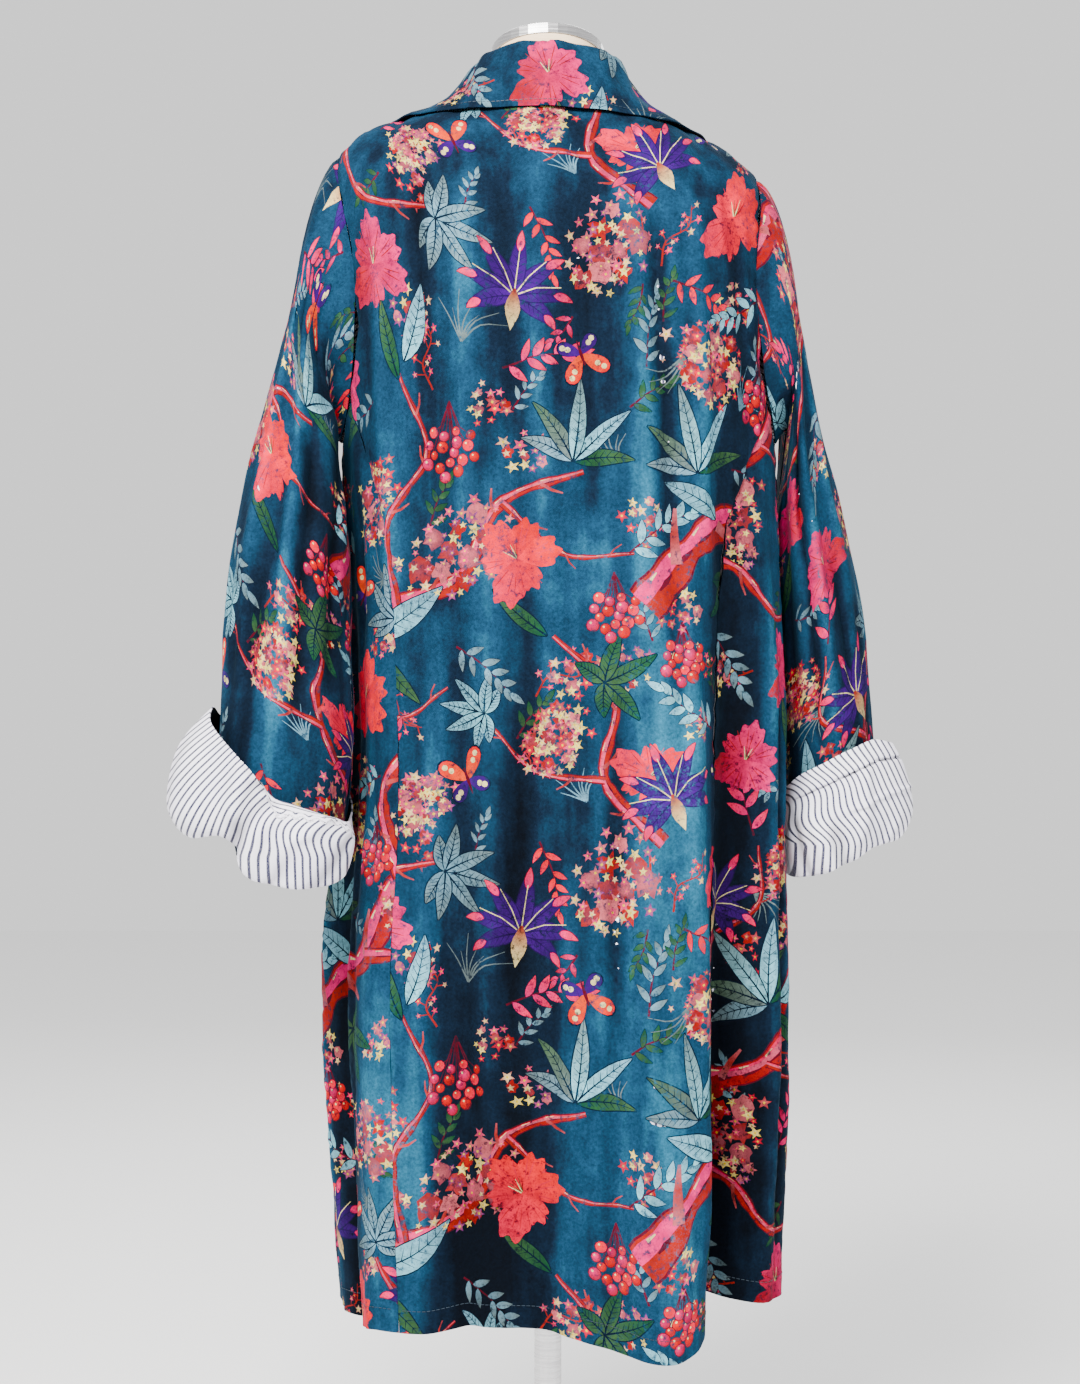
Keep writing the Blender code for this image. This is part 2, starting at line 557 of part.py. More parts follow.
def make_cuff(name, side, rings, stations, lining):
    up = np.linspace(0.0, 1.0, CUFF_ROWS + 1)
    around = np.arange(ROUND_CUFF) * 2 * math.pi / ROUND_CUFF
    grid_up, grid_around = np.meshgrid(up, around, indexing="ij")

    def surface(a, w):
        return cuff_surface(side, rings, stations, a, w)

    middle = surface(grid_up, grid_around)
    normals = side * surface_normals(surface, grid_up, grid_around)
    add_object(name, wall_mesh(middle, normals, CLOTH, True), lining)


def collar_surface(along, across):
    """Points in the middle of the collar. Along is -1 to 1 from the left front round the neck to the
    right front, and across is 0 at the neck seam and 1 at the outer edge."""
    row = smooth_rows(COLLAR, np.abs(along))
    seam_angle, seam_run, stand, edge_angle, edge_run, standing, bow = (
        row[..., i] for i in range(1, 8)
    )
    side = np.where(along < 0, -1.0, 1.0)
    off = CLOTH / 2 + COLLAR_CLOTH / 2 + SEAM_GAP + 0.0002
    angle = side * (seam_angle + (edge_angle - seam_angle) * across)
    run = seam_run + (edge_run - seam_run) * across
    roll = (LAPEL_ROLL + COLLAR_LIFT) * np.sin(np.pi * np.clip(across, 0, 1))
    flat = body_shell(angle, run) + shell_normal(angle, run) * (off + roll)[..., None]
    seam = body_shell(side * seam_angle, seam_run)
    seam = seam + shell_normal(side * seam_angle, seam_run) * off
    edge = body_shell(side * edge_angle, edge_run)
    edge = edge + shell_normal(side * edge_angle, edge_run) * (off + COLLAR_LIFT)
    top = seam * np.array([COLLAR_LEAN, COLLAR_LEAN, 1.0])
    top[..., 2] += stand
    out = unit((edge - seam) * np.array([1.0, 1.0, 0.0]) + 1e-9)
    up = np.array([0.0, 0.0, 1.0])
    fold = top + out * COLLAR_FOLD - up * COLLAR_FOLD_DROP
    knots = [
        seam,
        seam * 0.5 + top * 0.5,
        top - up * COLLAR_TOP_DROP,
        fold,
        fold * 0.5 + edge * 0.5 + (out + up * COLLAR_BOW_UP) * bow[..., None],
        edge,
    ]
    tall = through_knots(knots, np.clip(across, 0, 1) * (len(knots) - 1))
    standing = np.clip(standing, 0, 1)[..., None]
    return tall * standing + flat * (1 - standing)


def make_collar(velvet):
    along = np.linspace(-1.0, 1.0, COLLAR_COLUMNS + 1)
    across = np.linspace(0.0, 1.0, COLLAR_ROWS + 1)
    grid_across, grid_along = np.meshgrid(across, along, indexing="ij")
    middle = collar_surface(grid_along, grid_across)
    step = 0.01
    down = collar_surface(grid_along, np.clip(grid_across + step, 0, 1))
    down = down - collar_surface(grid_along, np.clip(grid_across - step, 0, 1))
    low, high = np.clip(grid_along - step, -1, 1), np.clip(grid_along + step, -1, 1)
    wide = collar_surface(high, grid_across) - collar_surface(low, grid_across)
    normals = unit(np.cross(down, wide))
    add_object("collar", wall_mesh(middle, normals, COLLAR_CLOTH, False), velvet)


def lathe(name, rings, material, sharp_degrees=40.0):
    """A closed solid from rings of points, lowest first, with a flat end on each side."""
    mesh = bmesh.new()
    loops = [[mesh.verts.new(p) for p in ring] for ring in rings]
    count = len(loops[0])
    for low, high in zip(loops, loops[1:]):
        for j in range(count):
            k = (j + 1) % count
            mesh.faces.new((low[j], low[k], high[k], high[j]))
    mesh.faces.new(loops[0][::-1])
    mesh.faces.new(loops[-1])
    return add_object(name, mesh, material, sharp_degrees)


def form_ring(row):
    angle = np.radians(np.arange(ROUND_FORM) * 360.0 / ROUND_FORM)
    s, c = np.sin(angle), np.cos(angle)
    depth = np.where(c > 0, row.back, row.front)
    z = row.side_z + (np.where(c > 0, row.back_z, row.front_z) - row.side_z) * c * c
    x = row.half_width * s * (1 + SQUARENESS * c * c)
    y = -depth * c * (1 + SQUARENESS * s * s)
    return np.stack([x, y, z], axis=-1)


def rest_ring(run):
    """A ring of the form's shoulders, just under the jacket that rests on them."""
    angle = np.arange(ROUND_FORM) * 360.0 / ROUND_FORM
    under = CLOTH / 2 + REST_GAP + REST_CLEAR * np.cos(np.radians(angle)) ** 2
    return body_shell(angle, run, False) - shell_normal(angle, run, False) * under[:, None]


def circle(radius, z, count=ROUND_FORM, tilt=0.0):
    """A ring of points round the Z axis, leaning by a tilt so that its back is the higher."""
    angle = np.arange(count) * 2 * math.pi / count
    lean = math.radians(tilt)
    x, y = radius * np.sin(angle), -radius * np.cos(angle) * math.cos(lean)
    return np.stack([x, y, z + radius * np.cos(angle) * math.sin(lean)], axis=-1)


def neck_ring(radius, above):
    """A ring of the neck's top, this far above it along the neck's lean."""
    lean = math.radians(NECK_TILT)
    ring = circle(radius, NECK_TOP_Z, ROUND_FORM, NECK_TILT)
    return ring + np.array([0.0, math.sin(lean), math.cos(lean)]) * above


def make_form(cover, metal):
    rings = [form_ring(row) for row in reversed(FORM_TORSO)]
    rings += [rest_ring(run) for run in reversed(FORM_REST_RUNS)]
    rings += [circle(NECK_RADIUS, NECK_LOW_Z, ROUND_FORM, NECK_TILT / 2)]
    rings += [neck_ring(NECK_RADIUS, 0.0)]
    lathe("form_torso", rings, cover, 60.0)
    cap = [
        neck_ring(CAP_RADIUS, SEAM_GAP),
        neck_ring(CAP_RADIUS, CAP_HEIGHT - CAP_BEVEL),
        neck_ring(CAP_RADIUS - CAP_BEVEL, CAP_HEIGHT),
    ]
    lathe("form_neck_cap", cap, metal)
    top = FORM_BOTTOM_Z - SEAM_GAP
    pole = [
        circle(POLE_RADIUS, BASE_HEIGHT + HUB_HEIGHT + SEAM_GAP, ROUND_POLE),
        circle(POLE_RADIUS, top - FLANGE_HEIGHT, ROUND_POLE),
        circle(FLANGE_RADIUS, top - FLANGE_EDGE, ROUND_POLE),
        circle(FLANGE_RADIUS, top, ROUND_POLE),
    ]
    lathe("stand_pole", pole, metal)
    base = [
        circle(BASE_RADIUS - BASE_BEVEL, 0.0, ROUND_BASE),
        circle(BASE_RADIUS, BASE_BEVEL, ROUND_BASE),
        circle(BASE_RADIUS, BASE_HEIGHT - BASE_BEVEL, ROUND_BASE),
        circle(BASE_RADIUS - BASE_BEVEL, BASE_HEIGHT, ROUND_BASE),
        circle(HUB_RADIUS + HUB_FILLET, BASE_HEIGHT, ROUND_BASE),
        circle(HUB_RADIUS, BASE_HEIGHT + HUB_FILLET, ROUND_BASE),
        circle(HUB_RADIUS, BASE_HEIGHT + HUB_HEIGHT - BASE_BEVEL, ROUND_BASE),
        circle(HUB_RADIUS - BASE_BEVEL, BASE_HEIGHT + HUB_HEIGHT, ROUND_BASE),
    ]
    lathe("stand_base", base, metal)


def main():
    clear_scene()
    velvet = finish("printed velvet", (0.010, 0.085, 0.150), 0.85)
    lining = finish("striped cotton lining", (0.82, 0.80, 0.84), 0.80)
    cover = finish("cream jersey", (0.90, 0.72, 0.50), 0.80)
    metal = finish("brushed steel", (0.62, 0.61, 0.62), 0.30, 1.0)
    make_body(velvet)
    make_sleeve("sleeve_left", -1, LEFT_SLEEVE, velvet)
    make_sleeve("sleeve_right", 1, RIGHT_SLEEVE, velvet)
    make_cuff("cuff_left", -1, LEFT_SLEEVE, LEFT_CUFF, lining)
    make_cuff("cuff_right", 1, RIGHT_SLEEVE, RIGHT_CUFF, lining)
    make_collar(velvet)
    make_form(cover, metal)


main()
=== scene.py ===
"""The looks of a long printed velvet jacket on a limbless dress form, seen from behind.

Each piece of cloth is cut out of a flat pattern, u across and v down in metres. Its print is cut into
that flat piece, and the piece is then laid on the shape that the jacket has on the form. Angles round
the body are in degrees from the middle of the back and grow towards +X, as in the part's source.
"""

import math
import random
from collections import namedtuple

import bmesh
import bpy
import numpy as np
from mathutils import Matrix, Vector
from mathutils.geometry import delaunay_2d_cdt


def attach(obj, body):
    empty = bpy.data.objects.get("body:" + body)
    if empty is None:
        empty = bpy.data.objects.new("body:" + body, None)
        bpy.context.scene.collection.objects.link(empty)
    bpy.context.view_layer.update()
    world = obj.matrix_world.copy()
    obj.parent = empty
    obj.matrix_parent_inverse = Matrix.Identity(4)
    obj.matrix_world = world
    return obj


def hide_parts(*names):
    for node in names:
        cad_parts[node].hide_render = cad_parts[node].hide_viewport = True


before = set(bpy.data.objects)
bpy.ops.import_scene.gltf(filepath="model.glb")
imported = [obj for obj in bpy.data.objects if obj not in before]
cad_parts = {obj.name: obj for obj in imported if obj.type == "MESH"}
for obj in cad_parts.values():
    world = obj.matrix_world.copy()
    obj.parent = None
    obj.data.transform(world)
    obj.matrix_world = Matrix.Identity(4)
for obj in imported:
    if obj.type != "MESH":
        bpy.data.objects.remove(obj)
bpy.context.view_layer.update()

random.seed(7)


def added(name, data):
    """A new object in the scene."""
    thing = bpy.data.objects.new(name, data)
    bpy.context.scene.collection.objects.link(thing)
    return thing


def named(kind, rows):
    """A table's rows, with their columns named."""
    return [kind(*row) for row in rows]


# Cloth and seams
CLOTH = 0.0020
COLLAR_CLOTH = 0.0024
SEAM_GAP = 0.0003
SEAM_DIP = 0.0016  # how far a seam draws the cloth in
SEAM_REACH = 0.0050
SEAM_SPARE = 0.0002  # room beyond the seam gap where one cloth lies on another
PUCKER = 0.0006
PUCKER_REACH = 0.018
HEM_FOLD = 0.022  # from the hem up to its topstitching
EDGE_FOLD = 0.0065  # from the collar's edge to its topstitching
FRONT_FOLD = 2.4  # the same on the fronts, in degrees
FRONT_STITCH_TOP = 0.06  # where the fronts' topstitching starts, under the collar
HEM_END = 0.8  # how far the hem's topstitching stops from a panel's sides, in degrees
COLLAR_SEWN = 0.98  # the share of the collar's length that is topstitched
STITCH = 0.0034  # the length of a stitch
STITCH_GAP = 0.0014
THREAD = 0.00035
STRIPE = 0.0074  # from one pin stripe of the lining to the next

# The jacket's lengths, as cloth from the neck seam
HEM_RUN = 1.24
MID_RUN = 0.76
ARMHOLE_TOP_RUN = 0.145
ARMHOLE_BOTTOM_RUN = 0.365
ARMHOLE_MIDDLE = (ARMHOLE_TOP_RUN + ARMHOLE_BOTTOM_RUN) / 2
ARMHOLE_REACH = (ARMHOLE_BOTTOM_RUN - ARMHOLE_TOP_RUN) / 2
ARMHOLE_HALF_ANGLE = 26.0
ARM_RADIUS = 0.20
SEAM_TURN = 0.09
SIDE_ANGLE = 90.0
SIDE_BACK_DROP = 0.003  # how far under the armhole's seam a side back starts
SQUARENESS = 0.10

# The sizes of the grid that each flat piece is cut into
BODY_GRID = 0.0085
LINING_GRID = 0.013
SLEEVE_GRID = 0.0064
CUFF_GRID = 0.0032
COLLAR_GRID = 0.0060
EDGE_STEP = 0.0060

# How many rows and columns each curved sheet is worked out at
ARMHOLE_ROWS = 65
BODY_ROWS = 400
SLEEVE_ROWS = 240
CUFF_ROWS = 160
COLLAR_COLUMNS = 420
COLLAR_ROWS = 120

COLUMNS_PER_DEGREE = 3

# How many points each row of stitches is measured along
HEM_POINTS = 300
FRONT_POINTS = 500
COLLAR_POINTS = 600

# Where each side of the cloth starts in the map for baking and how wide it is there, and its rim
BAKED_FRONT = (0.005, 0.725)
BAKED_LINING = (0.740, 0.255)
BAKED_RIM = 0.735

ROUND_ACROSS = np.linspace(-181, 181, 420)
# Slight waves of the cloth: how wide and long each is, and how deep
WAVES = ((0.043, 0.31, 0.0009), (0.071, 0.19, 0.0008), (0.029, 0.23, 0.0005), (0.118, 0.41, 0.0012))

# The stripes of each twisted cuff: from one to the next across, how they lean, and how that grows
CUFF_STRIPES = {"cuff_left": (0.0078, 0.25, 4.6), "cuff_right": (0.0070, -0.42, -0.6)}
# Round each cuff: by how many stripes they sway
CUFF_SWAYS = {
    "cuff_left": [
        (0.0, 0.0), (60.0, 0.1), (84.0, 0.3), (96.0, 0.7), (140.0, 0.7), (260.0, 0.3), (360.0, 0.0),
    ],
    "cuff_right": [(0.0, 0.1), (70.0, 0.2), (95.0, 0.6), (150.0, 0.8), (260.0, 0.3), (360.0, 0.1)],
}
CUFF_FOOT = 0.765  # the height that the stripes' slant is counted from
CUFF_BAND_STRIPE = 0.0058
CUFF_BAND = 0.024  # the left cuff's rim that is turned over

# Painted light and shade: how light the cloth's colour is painted where it lies flat, and how much lighter
# it is painted on its ridges and darker in its troughs
FOLD_SHADING_LEVEL = 0.22
FOLD_SHADING_REACH = 0.22
FOLD_SHADING_RIDGE = 0.005  # how high such a ridge is
FOLD_SHADING_FOLD_SHARE = 0.35  # how much the large folds count beside the creases

# The photograph's view
EYE = (-0.008, -2.56, 0.921)
VIEW_DEGREES = 31.2

Section = namedtuple(
    "Section", "run side_z back_z front_z half_width back front centre_x left_wide tilt"
)
BODY = named(Section, [
    (0.000, 1.5190, 1.5240, 1.5000, 0.0660, 0.0640, 0.0660, 0.000, 0.0000, 0.000),
    (0.050, 1.5050, 1.4880, 1.4550, 0.1300, 0.0980, 0.0920, 0.001, 0.0020, -0.005),
    (0.110, 1.4800, 1.4300, 1.3980, 0.1880, 0.1220, 0.1120, 0.004, 0.0080, -0.012),
    (0.150, 1.4560, 1.3900, 1.3600, 0.2090, 0.1330, 0.1230, 0.007, 0.0140, -0.012),
    (0.250, 1.3340, 1.2900, 1.2700, 0.2165, 0.1450, 0.1370, 0.011, 0.0080, -0.004),
    (0.370, 1.1720, 1.1700, 1.1660, 0.2200, 0.1500, 0.1440, 0.014, 0.0060, 0.000),
    (0.450, 1.0910, 1.0900, 1.0870, 0.2212, 0.1510, 0.1455, 0.014, 0.0030, 0.000),
    (0.600, 0.9400, 0.9400, 0.9380, 0.2240, 0.1530, 0.1480, 0.015, 0.0000, 0.000),
    (0.760, 0.7790, 0.7790, 0.7770, 0.2235, 0.1550, 0.1510, 0.016, 0.0050, 0.000),
    (0.860, 0.6780, 0.6780, 0.6760, 0.2245, 0.1560, 0.1520, 0.016, 0.0150, 0.001),
    (1.080, 0.4570, 0.4570, 0.4560, 0.2235, 0.1590, 0.1550, 0.017, 0.0120, 0.005),
    (1.240, 0.2960, 0.2960, 0.2960, 0.2150, 0.1600, 0.1560, 0.017, 0.0095, 0.010),
])

# The folds of the part's source. A ridge's depth is above 0 and a trough's below
Fold = namedtuple(
    "Fold", "name top_angle hem_angle half_angle start_run mid_depth hem_depth hem_lift"
)
FOLDS = named(Fold, [
    ("right_ridge", 27.0, 22.0, 13.0, 0.16, 0.014, 0.044, -0.022),
    ("right_trough", 44.0, 50.0, 10.0, 0.20, -0.026, -0.090, 0.018),
    ("centre_ridge", 12.0, 6.0, 6.5, 0.10, 0.005, 0.004, 0.0),
    ("centre_trough", -3.0, -7.0, 8.0, 0.14, -0.006, -0.008, 0.007),
    ("left_ridge", -18.0, -15.0, 6.0, 0.08, 0.007, 0.004, 0.006),
    ("left_trough", -29.0, -25.0, 7.5, 0.12, -0.008, -0.020, 0.008),
    ("left_corner", -42.0, -47.0, 9.0, 0.12, 0.009, 0.022, 0.007),
    ("left_side_trough", -72.0, -72.0, 7.0, 0.20, -0.013, -0.024, 0.0),
    ("right_side_ridge", 84.0, 82.0, 9.0, 0.30, 0.006, 0.006, 0.0),
    ("right_front_trough", 108.0, 112.0, 9.0, 0.36, -0.012, -0.036, 0.004),
    ("right_front_ridge", 130.0, 132.0, 10.0, 0.30, 0.010, 0.026, -0.004),
    ("right_edge_trough", 154.0, 152.0, 7.0, 0.42, -0.006, -0.018, 0.002),
    ("left_front_ridge", -104.0, -106.0, 9.0, 0.36, 0.008, 0.018, 0.0),
    ("left_front_trough", -126.0, -130.0, 9.0, 0.30, -0.012, -0.034, 0.004),
    ("left_edge_ridge", -150.0, -152.0, 8.0, 0.42, 0.008, 0.020, -0.003),
])

# Softer creases, each from one point of the cloth to another
Crease = namedtuple("Crease", "angle_a run_a angle_b run_b half_angle depth")
CREASES = named(Crease, [
    (-52.0, 0.16, -46.0, 0.52, 3.2, 0.0040),
    (-36.0, 0.12, -33.0, 0.44, 2.6, -0.0035),
    (-23.0, 0.14, -24.0, 0.50, 2.4, 0.0035),
    (-13.0, 0.10, -11.0, 0.36, 2.6, -0.0030),
    (-6.0, 0.22, -2.0, 0.74, 2.8, 0.0032),
    (5.0, 0.14, 6.5, 0.46, 2.4, -0.0036),
    (18.0, 0.10, 19.0, 0.54, 3.0, 0.0045),
    (24.5, 0.16, 27.0, 0.62, 2.4, -0.0042),
    (36.0, 0.14, 37.5, 0.50, 3.0, 0.0038),
    (50.0, 0.15, 58.0, 0.40, 3.2, -0.0035),
    (-31.0, 0.56, -36.0, 1.20, 3.0, 0.0045),
    (-9.0, 0.62, -16.0, 1.22, 3.4, -0.0038),
    (1.0, 0.80, 0.0, 1.24, 3.0, 0.0036),
    (12.0, 0.66, 11.0, 1.24, 2.6, -0.0050),
    (20.0, 0.70, 17.0, 1.20, 2.2, 0.0032),
    (31.0, 0.60, 34.0, 1.16, 2.4, 0.0050),
    (-62.0, 0.44, -60.0, 1.10, 3.0, -0.0045),
    (-84.0, 0.50, -88.0, 1.18, 3.2, 0.0050),
    (66.0, 0.52, 67.0, 1.20, 3.0, 0.0048),
    (75.0, 0.60, 74.0, 1.22, 2.6, -0.0045),
    (58.0, 0.28, 84.0, 0.37, 3.0, -0.0030),
    (-60.0, 0.26, -84.0, 0.37, 3.2, -0.0032),
    (96.0, 0.44, 97.0, 1.16, 3.4, -0.0045),
    (120.0, 0.40, 121.0, 1.00, 3.0, 0.0045),
    (143.0, 0.50, 141.0, 1.22, 3.2, -0.0042),
    (165.0, 0.60, 166.0, 1.18, 2.6, 0.0034),
    (-97.0, 0.42, -96.0, 1.10, 3.0, 0.0040),
    (-116.0, 0.46, -117.0, 1.20, 3.0, 0.0046),
    (-139.0, 0.40, -140.0, 1.06, 3.2, -0.0044),
    (-163.0, 0.55, -165.0, 1.20, 2.6, -0.0034),
    (-118.0, 0.18, -100.0, 0.34, 4.0, -0.0034),
    (118.0, 0.17, 101.0, 0.35, 4.0, -0.0034),
])

Station = namedtuple("Station", "run angle")
PRINCESS = named(Station, [
    (0.3328, 71.6),
    (0.3566, 63.5),
    (0.3900, 56.0),
    (0.4500, 47.5),
    (0.5400, 44.0),
    (0.7000, 42.0),
    (1.2400, 41.5),
])
FRONT_EDGE = named(Station, [
    (0.000, 126.0),
    (0.030, 139.0),
    (0.060, 148.0),
    (0.120, 158.5),
    (0.200, 166.5),
    (0.300, 172.5),
    (0.420, 177.0),
    (0.700, 177.4),
    (1.240, 175.5),
])

SleeveRing = namedtuple("SleeveRing", "along inner_x inner_z outer_x outer_z back_y front_y hang")
LEFT_SLEEVE = named(SleeveRing, [
    (0.00, 0.2230, 1.193, 0.2280, 1.455, -0.062, 0.060, 0.000),
    (0.10, 0.2360, 1.195, 0.2440, 1.408, -0.082, 0.066, 0.008),
    (0.22, 0.2290, 1.170, 0.2555, 1.330, -0.106, 0.052, 0.020),
    (0.29, 0.2190, 1.132, 0.2675, 1.272, -0.122, 0.028, 0.015),
    (0.38, 0.2050, 1.088, 0.2800, 1.215, -0.140, 0.006, 0.006),
    (0.56, 0.1980, 0.990, 0.3030, 1.095, -0.162, -0.020, 0.000),
    (0.74, 0.1950, 0.900, 0.3160, 0.975, -0.172, -0.028, 0.000),
    (0.90, 0.1980, 0.830, 0.3220, 0.885, -0.178, -0.034, 0.000),
    (1.00, 0.2020, 0.786, 0.3250, 0.820, -0.180, -0.036, 0.000),
])
RIGHT_SLEEVE = named(SleeveRing, [
    (0.00, 0.2400, 1.196, 0.2320, 1.440, -0.062, 0.060, 0.000),
    (0.10, 0.2500, 1.197, 0.2450, 1.396, -0.064, 0.082, 0.000),
    (0.22, 0.2480, 1.172, 0.2575, 1.320, -0.052, 0.106, 0.000),
    (0.38, 0.2400, 1.085, 0.2820, 1.205, -0.036, 0.126, 0.000),
    (0.56, 0.2420, 0.990, 0.3100, 1.090, -0.026, 0.134, 0.000),
    (0.74, 0.2430, 0.900, 0.3310, 0.975, -0.018, 0.140, 0.000),
    (0.90, 0.2460, 0.826, 0.3415, 0.872, -0.012, 0.142, 0.000),
    (1.00, 0.2480, 0.784, 0.3455, 0.812, -0.010, 0.142, 0.000),
])
# How a sleeve swells by its creases, how square it is, and where it hangs free of its seam
SLEEVE_GIRTH = 0.07
SLEEVE_SQUARE_X = 0.16
SLEEVE_SQUARE_Y = 0.08
SLEEVE_FREE = 0.20
SLEEVE_LOW = 0.74  # how far down the creases begin to fade towards the cuff
SLEEVE_LOW_REACH = 0.08
SLEEVE_LOW_LOSS = 0.8  # how much of each crease is gone there
SLEEVE_MOST = 0.012  # the most that a crease stands out, and how much less that is near the cuff
SLEEVE_MOST_LOSS = 0.0115
CUFF_ROOM = 0.0046  # the least room between a cuff and the sleeve inside it
CREASE_GAIN = 1.4  # how much deeper every crease of the body and the sleeves is made
SleeveFold = namedtuple("SleeveFold", "around half_angle along half_along depth")
SLEEVE_FOLDS = named(SleeveFold, [
    (70.0, 20.0, 0.55, 0.30, -0.007),
    (118.0, 18.0, 0.70, 0.34, 0.006),
    (28.0, 18.0, 0.80, 0.22, 0.005),
    (300.0, 22.0, 0.60, 0.30, -0.007),
    (250.0, 20.0, 0.72, 0.30, 0.006),
])
# A sleeve's softer creases: round it and along it at both ends
ArmCrease = namedtuple("ArmCrease", "around_a along_a around_b along_b half_angle depth")
ARM_CREASES = named(ArmCrease, [
    (52.0, 0.16, 46.0, 0.62, 7.0, 0.0042),
    (88.0, 0.20, 84.0, 0.90, 7.0, 0.0045),
    (104.0, 0.30, 100.0, 0.84, 6.0, -0.0050),
    (140.0, 0.24, 128.0, 0.74, 8.0, -0.0048),
    (62.0, 0.60, 58.0, 1.00, 6.5, -0.0045),
    (38.0, 0.66, 40.0, 1.00, 6.0, -0.0040),
    (12.0, 0.30, 8.0, 0.80, 8.0, 0.0034),
    (-12.0, 0.50, -6.0, 0.96, 8.0, -0.0036),
    (150.0, 0.10, 108.0, 0.26, 10.0, -0.0040),
    (210.0, 0.10, 250.0, 0.26, 10.0, -0.0040),
    (276.0, 0.22, 280.0, 0.86, 7.0, 0.0044),
    (316.0, 0.40, 322.0, 0.96, 7.0, 0.0040),
    (232.0, 0.36, 236.0, 0.92, 7.0, -0.0042),
])

CuffStation = namedtuple("CuffStation", "around bulge drop rise edge_off")
LEFT_CUFF = named(CuffStation, [
    (0.0, 0.050, 0.034, 0.086, 0.004),
    (30.0, 0.044, 0.037, 0.074, 0.006),
    (55.0, 0.024, 0.032, 0.058, 0.010),
    (75.0, 0.030, 0.062, 0.038, 0.012),
    (90.0, 0.033, 0.064, 0.018, 0.013),
    (105.0, 0.034, 0.064, 0.014, 0.014),
    (135.0, 0.030, 0.050, 0.006, 0.012),
    (165.0, 0.011, 0.030, 0.008, 0.006),
    (200.0, 0.009, 0.032, 0.024, 0.006),
    (240.0, 0.024, 0.040, 0.046, 0.010),
    (280.0, 0.034, 0.036, 0.060, 0.012),
    (325.0, 0.044, 0.028, 0.078, 0.010),
])
RIGHT_CUFF = named(CuffStation, [
    (0.0, 0.038, 0.040, 0.056, 0.012),
    (30.0, 0.036, 0.042, 0.058, 0.014),
    (58.0, 0.028, 0.042, 0.066, 0.010),
    (80.0, 0.030, 0.052, 0.062, 0.014),
    (110.0, 0.022, 0.059, 0.050, 0.012),
    (140.0, 0.011, 0.055, 0.036, 0.006),
    (170.0, 0.010, 0.040, 0.034, 0.006),
    (205.0, 0.011, 0.036, 0.034, 0.006),
    (245.0, 0.020, 0.042, 0.044, 0.010),
    (290.0, 0.036, 0.034, 0.056, 0.012),
    (330.0, 0.038, 0.038, 0.058, 0.014),
])
# A cuff's crumples: round it and up it at both ends
CuffCrease = namedtuple("CuffCrease", "around_a up_a around_b up_b half_angle depth")
LEFT_CRUMPLES = named(CuffCrease, [
    (57.0, 0.30, 85.0, 1.02, 4.5, -0.0100),
    (66.0, 0.60, 76.0, 0.96, 7.0, 0.0060),
    (97.0, 0.80, 140.0, 0.84, 4.0, -0.0050),
    (70.0, 0.36, 92.0, 0.72, 5.0, 0.0050),
    (66.0, 0.50, 96.0, 0.92, 4.5, -0.0052),
    (82.0, 0.30, 108.0, 0.60, 4.5, -0.0046),
    (100.0, 0.50, 128.0, 0.90, 5.0, 0.0042),
    (112.0, 0.34, 138.0, 0.66, 5.0, -0.0044),
    (36.0, 0.30, 44.0, 0.84, 5.5, 0.0030),
    (14.0, 0.40, 22.0, 0.90, 7.0, -0.0026),
    (232.0, 0.30, 262.0, 0.86, 6.0, -0.0060),
    (258.0, 0.28, 290.0, 0.80, 6.0, 0.0048),
    (296.0, 0.34, 322.0, 0.92, 7.0, -0.0050),
    (336.0, 0.30, 346.0, 0.86, 7.0, 0.0036),
])
RIGHT_CRUMPLES = named(CuffCrease, [
    (12.0, 0.88, 122.0, 0.78, 5.0, -0.0080),
    (20.0, 0.72, 90.0, 0.66, 9.0, 0.0040),
    (44.0, 0.58, 58.0, 0.20, 5.0, 0.0036),
    (96.0, 0.62, 78.0, 0.22, 5.0, -0.0070),
    (110.0, 0.66, 92.0, 0.24, 4.5, 0.0052),
    (126.0, 0.70, 108.0, 0.26, 4.5, -0.0050),
    (68.0, 0.86, 76.0, 0.50, 5.0, 0.0034),
    (8.0, 0.30, 16.0, 0.90, 6.0, -0.0040),
    (236.0, 0.30, 262.0, 0.86, 6.0, -0.0056),
    (266.0, 0.28, 292.0, 0.80, 6.0, 0.0048),
    (304.0, 0.34, 326.0, 0.92, 7.0, -0.0048),
])
Arm = namedtuple("Arm", "word side rings stations crumples slide")
ARMS = named(Arm, [
    ("left", -1.0, LEFT_SLEEVE, LEFT_CUFF, LEFT_CRUMPLES, (0.22, 0.31)),
    ("right", 1.0, RIGHT_SLEEVE, RIGHT_CUFF, RIGHT_CRUMPLES, (0.47, 0.08)),
])

CollarStation = namedtuple(
    "CollarStation", "along seam_angle seam_run stand edge_angle edge_run standing bow"
)
COLLAR = named(CollarStation, [
    (0.00, 0.0, 0.002, 0.0480, 0.0, 0.030, 1.0, 0.0050),
    (0.10, 34.0, 0.002, 0.0470, 30.0, 0.038, 1.0, 0.0020),
    (0.22, 72.0, 0.002, 0.0450, 66.0, 0.060, 1.0, -0.0090),
    (0.34, 108.0, 0.002, 0.0400, 100.0, 0.086, 0.85, -0.0080),
    (0.46, 134.0, 0.018, 0.0240, 120.0, 0.116, 0.40, -0.0030),
    (0.60, 151.5, 0.070, 0.0080, 134.0, 0.172, 0.08, 0.0),
    (0.76, 163.0, 0.160, 0.0000, 147.0, 0.250, 0.0, 0.0),
    (0.90, 170.0, 0.250, 0.0000, 160.0, 0.322, 0.0, 0.0),
    (1.00, 174.0, 0.330, 0.0000, 171.0, 0.352, 0.0, 0.0),
])
COLLAR_LIFT = 0.0015
LAPEL_ROLL = 0.0060
COLLAR_LEAN = 0.955  # how far in the top of the stand leans, as a share of the seam's width
